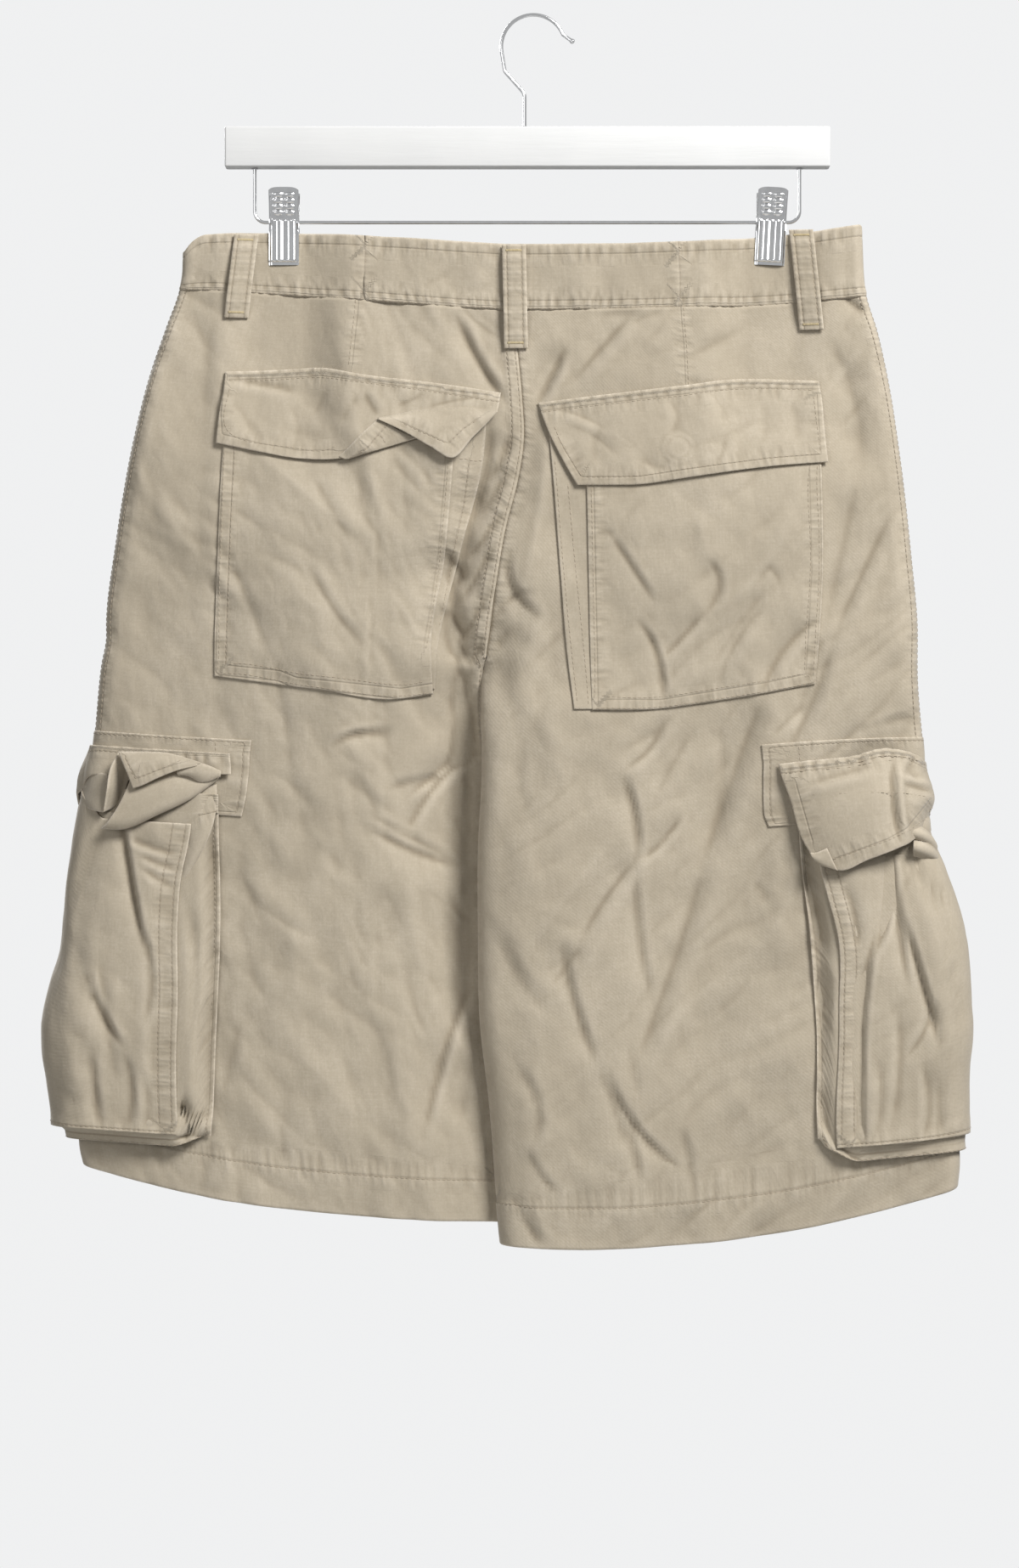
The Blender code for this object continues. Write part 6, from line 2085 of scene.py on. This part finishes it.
def clip_plate(side, face):
    """One jaw, a plate whose sides turn in towards the band."""
    facing = -1 if face == "back" else 1
    columns, rows = (48, 104) if face == "back" else (34, 74)
    mesh = bmesh.new()
    bmesh.ops.create_grid(mesh, x_segments=columns, y_segments=rows, size=1)
    made = bmesh.ops.extrude_face_region(mesh, geom=mesh.faces[:], use_keep_orig=True)
    for item in made["geom"]:
        if isinstance(item, bmesh.types.BMVert):
            item.co.z = 1
    start = np.array([vert.co for vert in mesh.verts])
    x = start[:, 0] * CLIP_WIDE / 2
    heights = np.array(JAW, float)
    height = CLIP_FOOT + (start[:, 1] + 1) / 2 * CLIP_HIGH
    # The top edge is a shallow arch
    height = height - 1.6 * (x / (CLIP_WIDE / 2)) ** 4 * smooth((height - 14) / 7)
    order = np.argsort(heights[:, 0])
    stand = curve_through(heights[order, 0], heights[order, 1], height)
    turned = curve_through(heights[order, 0], heights[order, 2], height)
    off_edge = CLIP_WIDE / 2 - np.abs(x)
    flange = (turned + 0.7) * (1 - smooth((off_edge - 0.2) / 1.6))
    y = stand - flange + np.where(start[:, 2] > 0.5, CLIP_SHEET + jaw_relief(x, height), 0)
    lean = CLIP_LEAN[side]
    turned_x = x * math.cos(lean) + height * math.sin(lean)
    turned_z = height * math.cos(lean) - x * math.sin(lean)
    points = np.stack([CLIP_X[side] + turned_x, facing * y, FRAME_Z + turned_z], axis=-1) * MM
    for vert, point in zip(mesh.verts, points):
        vert.co = point
    bmesh.ops.recalc_face_normals(mesh, faces=mesh.faces[:])
    if mesh.calc_volume(signed=True) < 0:
        bmesh.ops.reverse_faces(mesh, faces=mesh.faces[:])
    solid_piece(f"clip_{side}_{face}_plate", mesh, CHROME, [f"clip_{side}_{face}_jaw"])


for clip_side in CLIP_X:
    clip_plate(clip_side, "back")
    clip_plate(clip_side, "front")
    coil = [
        (
            CLIP_X[clip_side] - COIL_WIDE / 2 + COIL_WIDE * k / COIL_STEPS,
            COIL_RADIUS * math.cos(k * COIL_TURN),
            FRAME_Z + COIL_RADIUS * math.sin(k * COIL_TURN),
        )
        for k in range(COIL_STEPS + 1)
    ]
    wire(f"clip_{clip_side}_coil", coil, 0.45, [f"clip_{clip_side}_spring"])

# ---- Floor, light and camera ----
# A pale floor well below the hem, a soft light up on the right, a weaker one on the left, one for
# the garment's front, and a pale room that lights everything evenly.
floor_mesh = bmesh.new()
bmesh.ops.create_circle(floor_mesh, cap_ends=True, segments=96, radius=0.62)
bmesh.ops.translate(floor_mesh, vec=(0, 0, -1.3), verts=floor_mesh.verts[:])
floor_data = bpy.data.meshes.new("pale_floor")
floor_mesh.to_mesh(floor_data)
floor_mesh.free()
pale_floor = bpy.data.objects.new("pale_floor", floor_data)
bpy.context.scene.collection.objects.link(pale_floor)
floor_paint, floor_shader, _ = new_material("floor_paint")
floor_shader.inputs["Base Color"].default_value = (0.64, 0.64, 0.63, 1)
floor_shader.inputs["Roughness"].default_value = 0.8
floor_data.materials.append(floor_paint)

world = bpy.data.worlds.new("studio")
world.use_nodes = True
sky = world.node_tree
sky_start = Shade(sky, sky.nodes["Background"].outputs[0])
sky.nodes["Background"].inputs["Color"].default_value = (0.86, 0.87, 0.89, 1)
sky.nodes["Background"].inputs["Strength"].default_value = 0.28
seen = sky_start.node("ShaderNodeBackground", Color=(0.87, 0.875, 0.88, 1))
# Metal reflects a brighter room than the one that lights the cloth
shining = sky_start.node("ShaderNodeBackground", Color=(0.52, 0.525, 0.53, 1))
camera_ray, glossy_ray = (sky_start.node("ShaderNodeLightPath", out=index) for index in (0, 3))
room = sky_start.node("ShaderNodeMixShader", _0=camera_ray, _1=sky_start, _2=seen)
room = sky_start.node("ShaderNodeMixShader", _0=glossy_ray, _1=room, _2=shining)
sky.links.new(room.socket, sky.nodes["World Output"].inputs[0])
bpy.context.scene.world = world
bpy.context.scene.view_settings.view_transform = "Standard"

LAMPS = (
    # name, place, size, power
    ("key_light", (1.7, -2.0, 1.75), 1.2, 163.0),
    ("fill_light", (-3.0, -5.0, 0.4), 2.4, 64.0),
    ("front_light", (-2.4, 4.6, 1.8), 2.0, 330.0),
)
for lamp_name, lamp_place, lamp_size, lamp_power in LAMPS:
    lamp = bpy.data.lights.new(lamp_name, "AREA")
    lamp.size = lamp_size
    lamp.energy = lamp_power
    lamp_object = bpy.data.objects.new(lamp_name, lamp)
    lamp_object.location = lamp_place
    toward = np.array([0.0, 0.0, -0.45]) - np.array(lamp_place)
    lamp_object.rotation_euler = (
        math.acos(-toward[2] / np.linalg.norm(toward)),
        0,
        math.atan2(toward[1], toward[0]) - math.pi / 2,
    )
    bpy.context.scene.collection.objects.link(lamp_object)

camera = bpy.data.cameras.new("camera")
camera.lens = 85
camera.sensor_width = 36
camera_object = bpy.data.objects.new("camera", camera)
camera_object.location = (-0.015, -2.328, -0.4825)
camera_object.rotation_euler = (math.radians(90), 0, 0)
bpy.context.scene.collection.objects.link(camera_object)
bpy.context.scene.camera = camera_object

# For each cut piece the folds too small for a flat size that it holds are gathered, and its flat
# lengths and area are worked out, though nothing uses them.
SMALLEST = 12.0
for piece, piece_size, piece_share, holders in PIECES:
    folds = [
        small for small, size, _, holds in PIECES
        if min(size) < SMALLEST and piece.name in holds
    ]
    if min(piece_size) >= SMALLEST:
        [length * MM * max(piece_share, 1.0) ** 0.5 for length in piece_size]
        piece_size[0] * piece_size[1] * MM**2 * piece_share
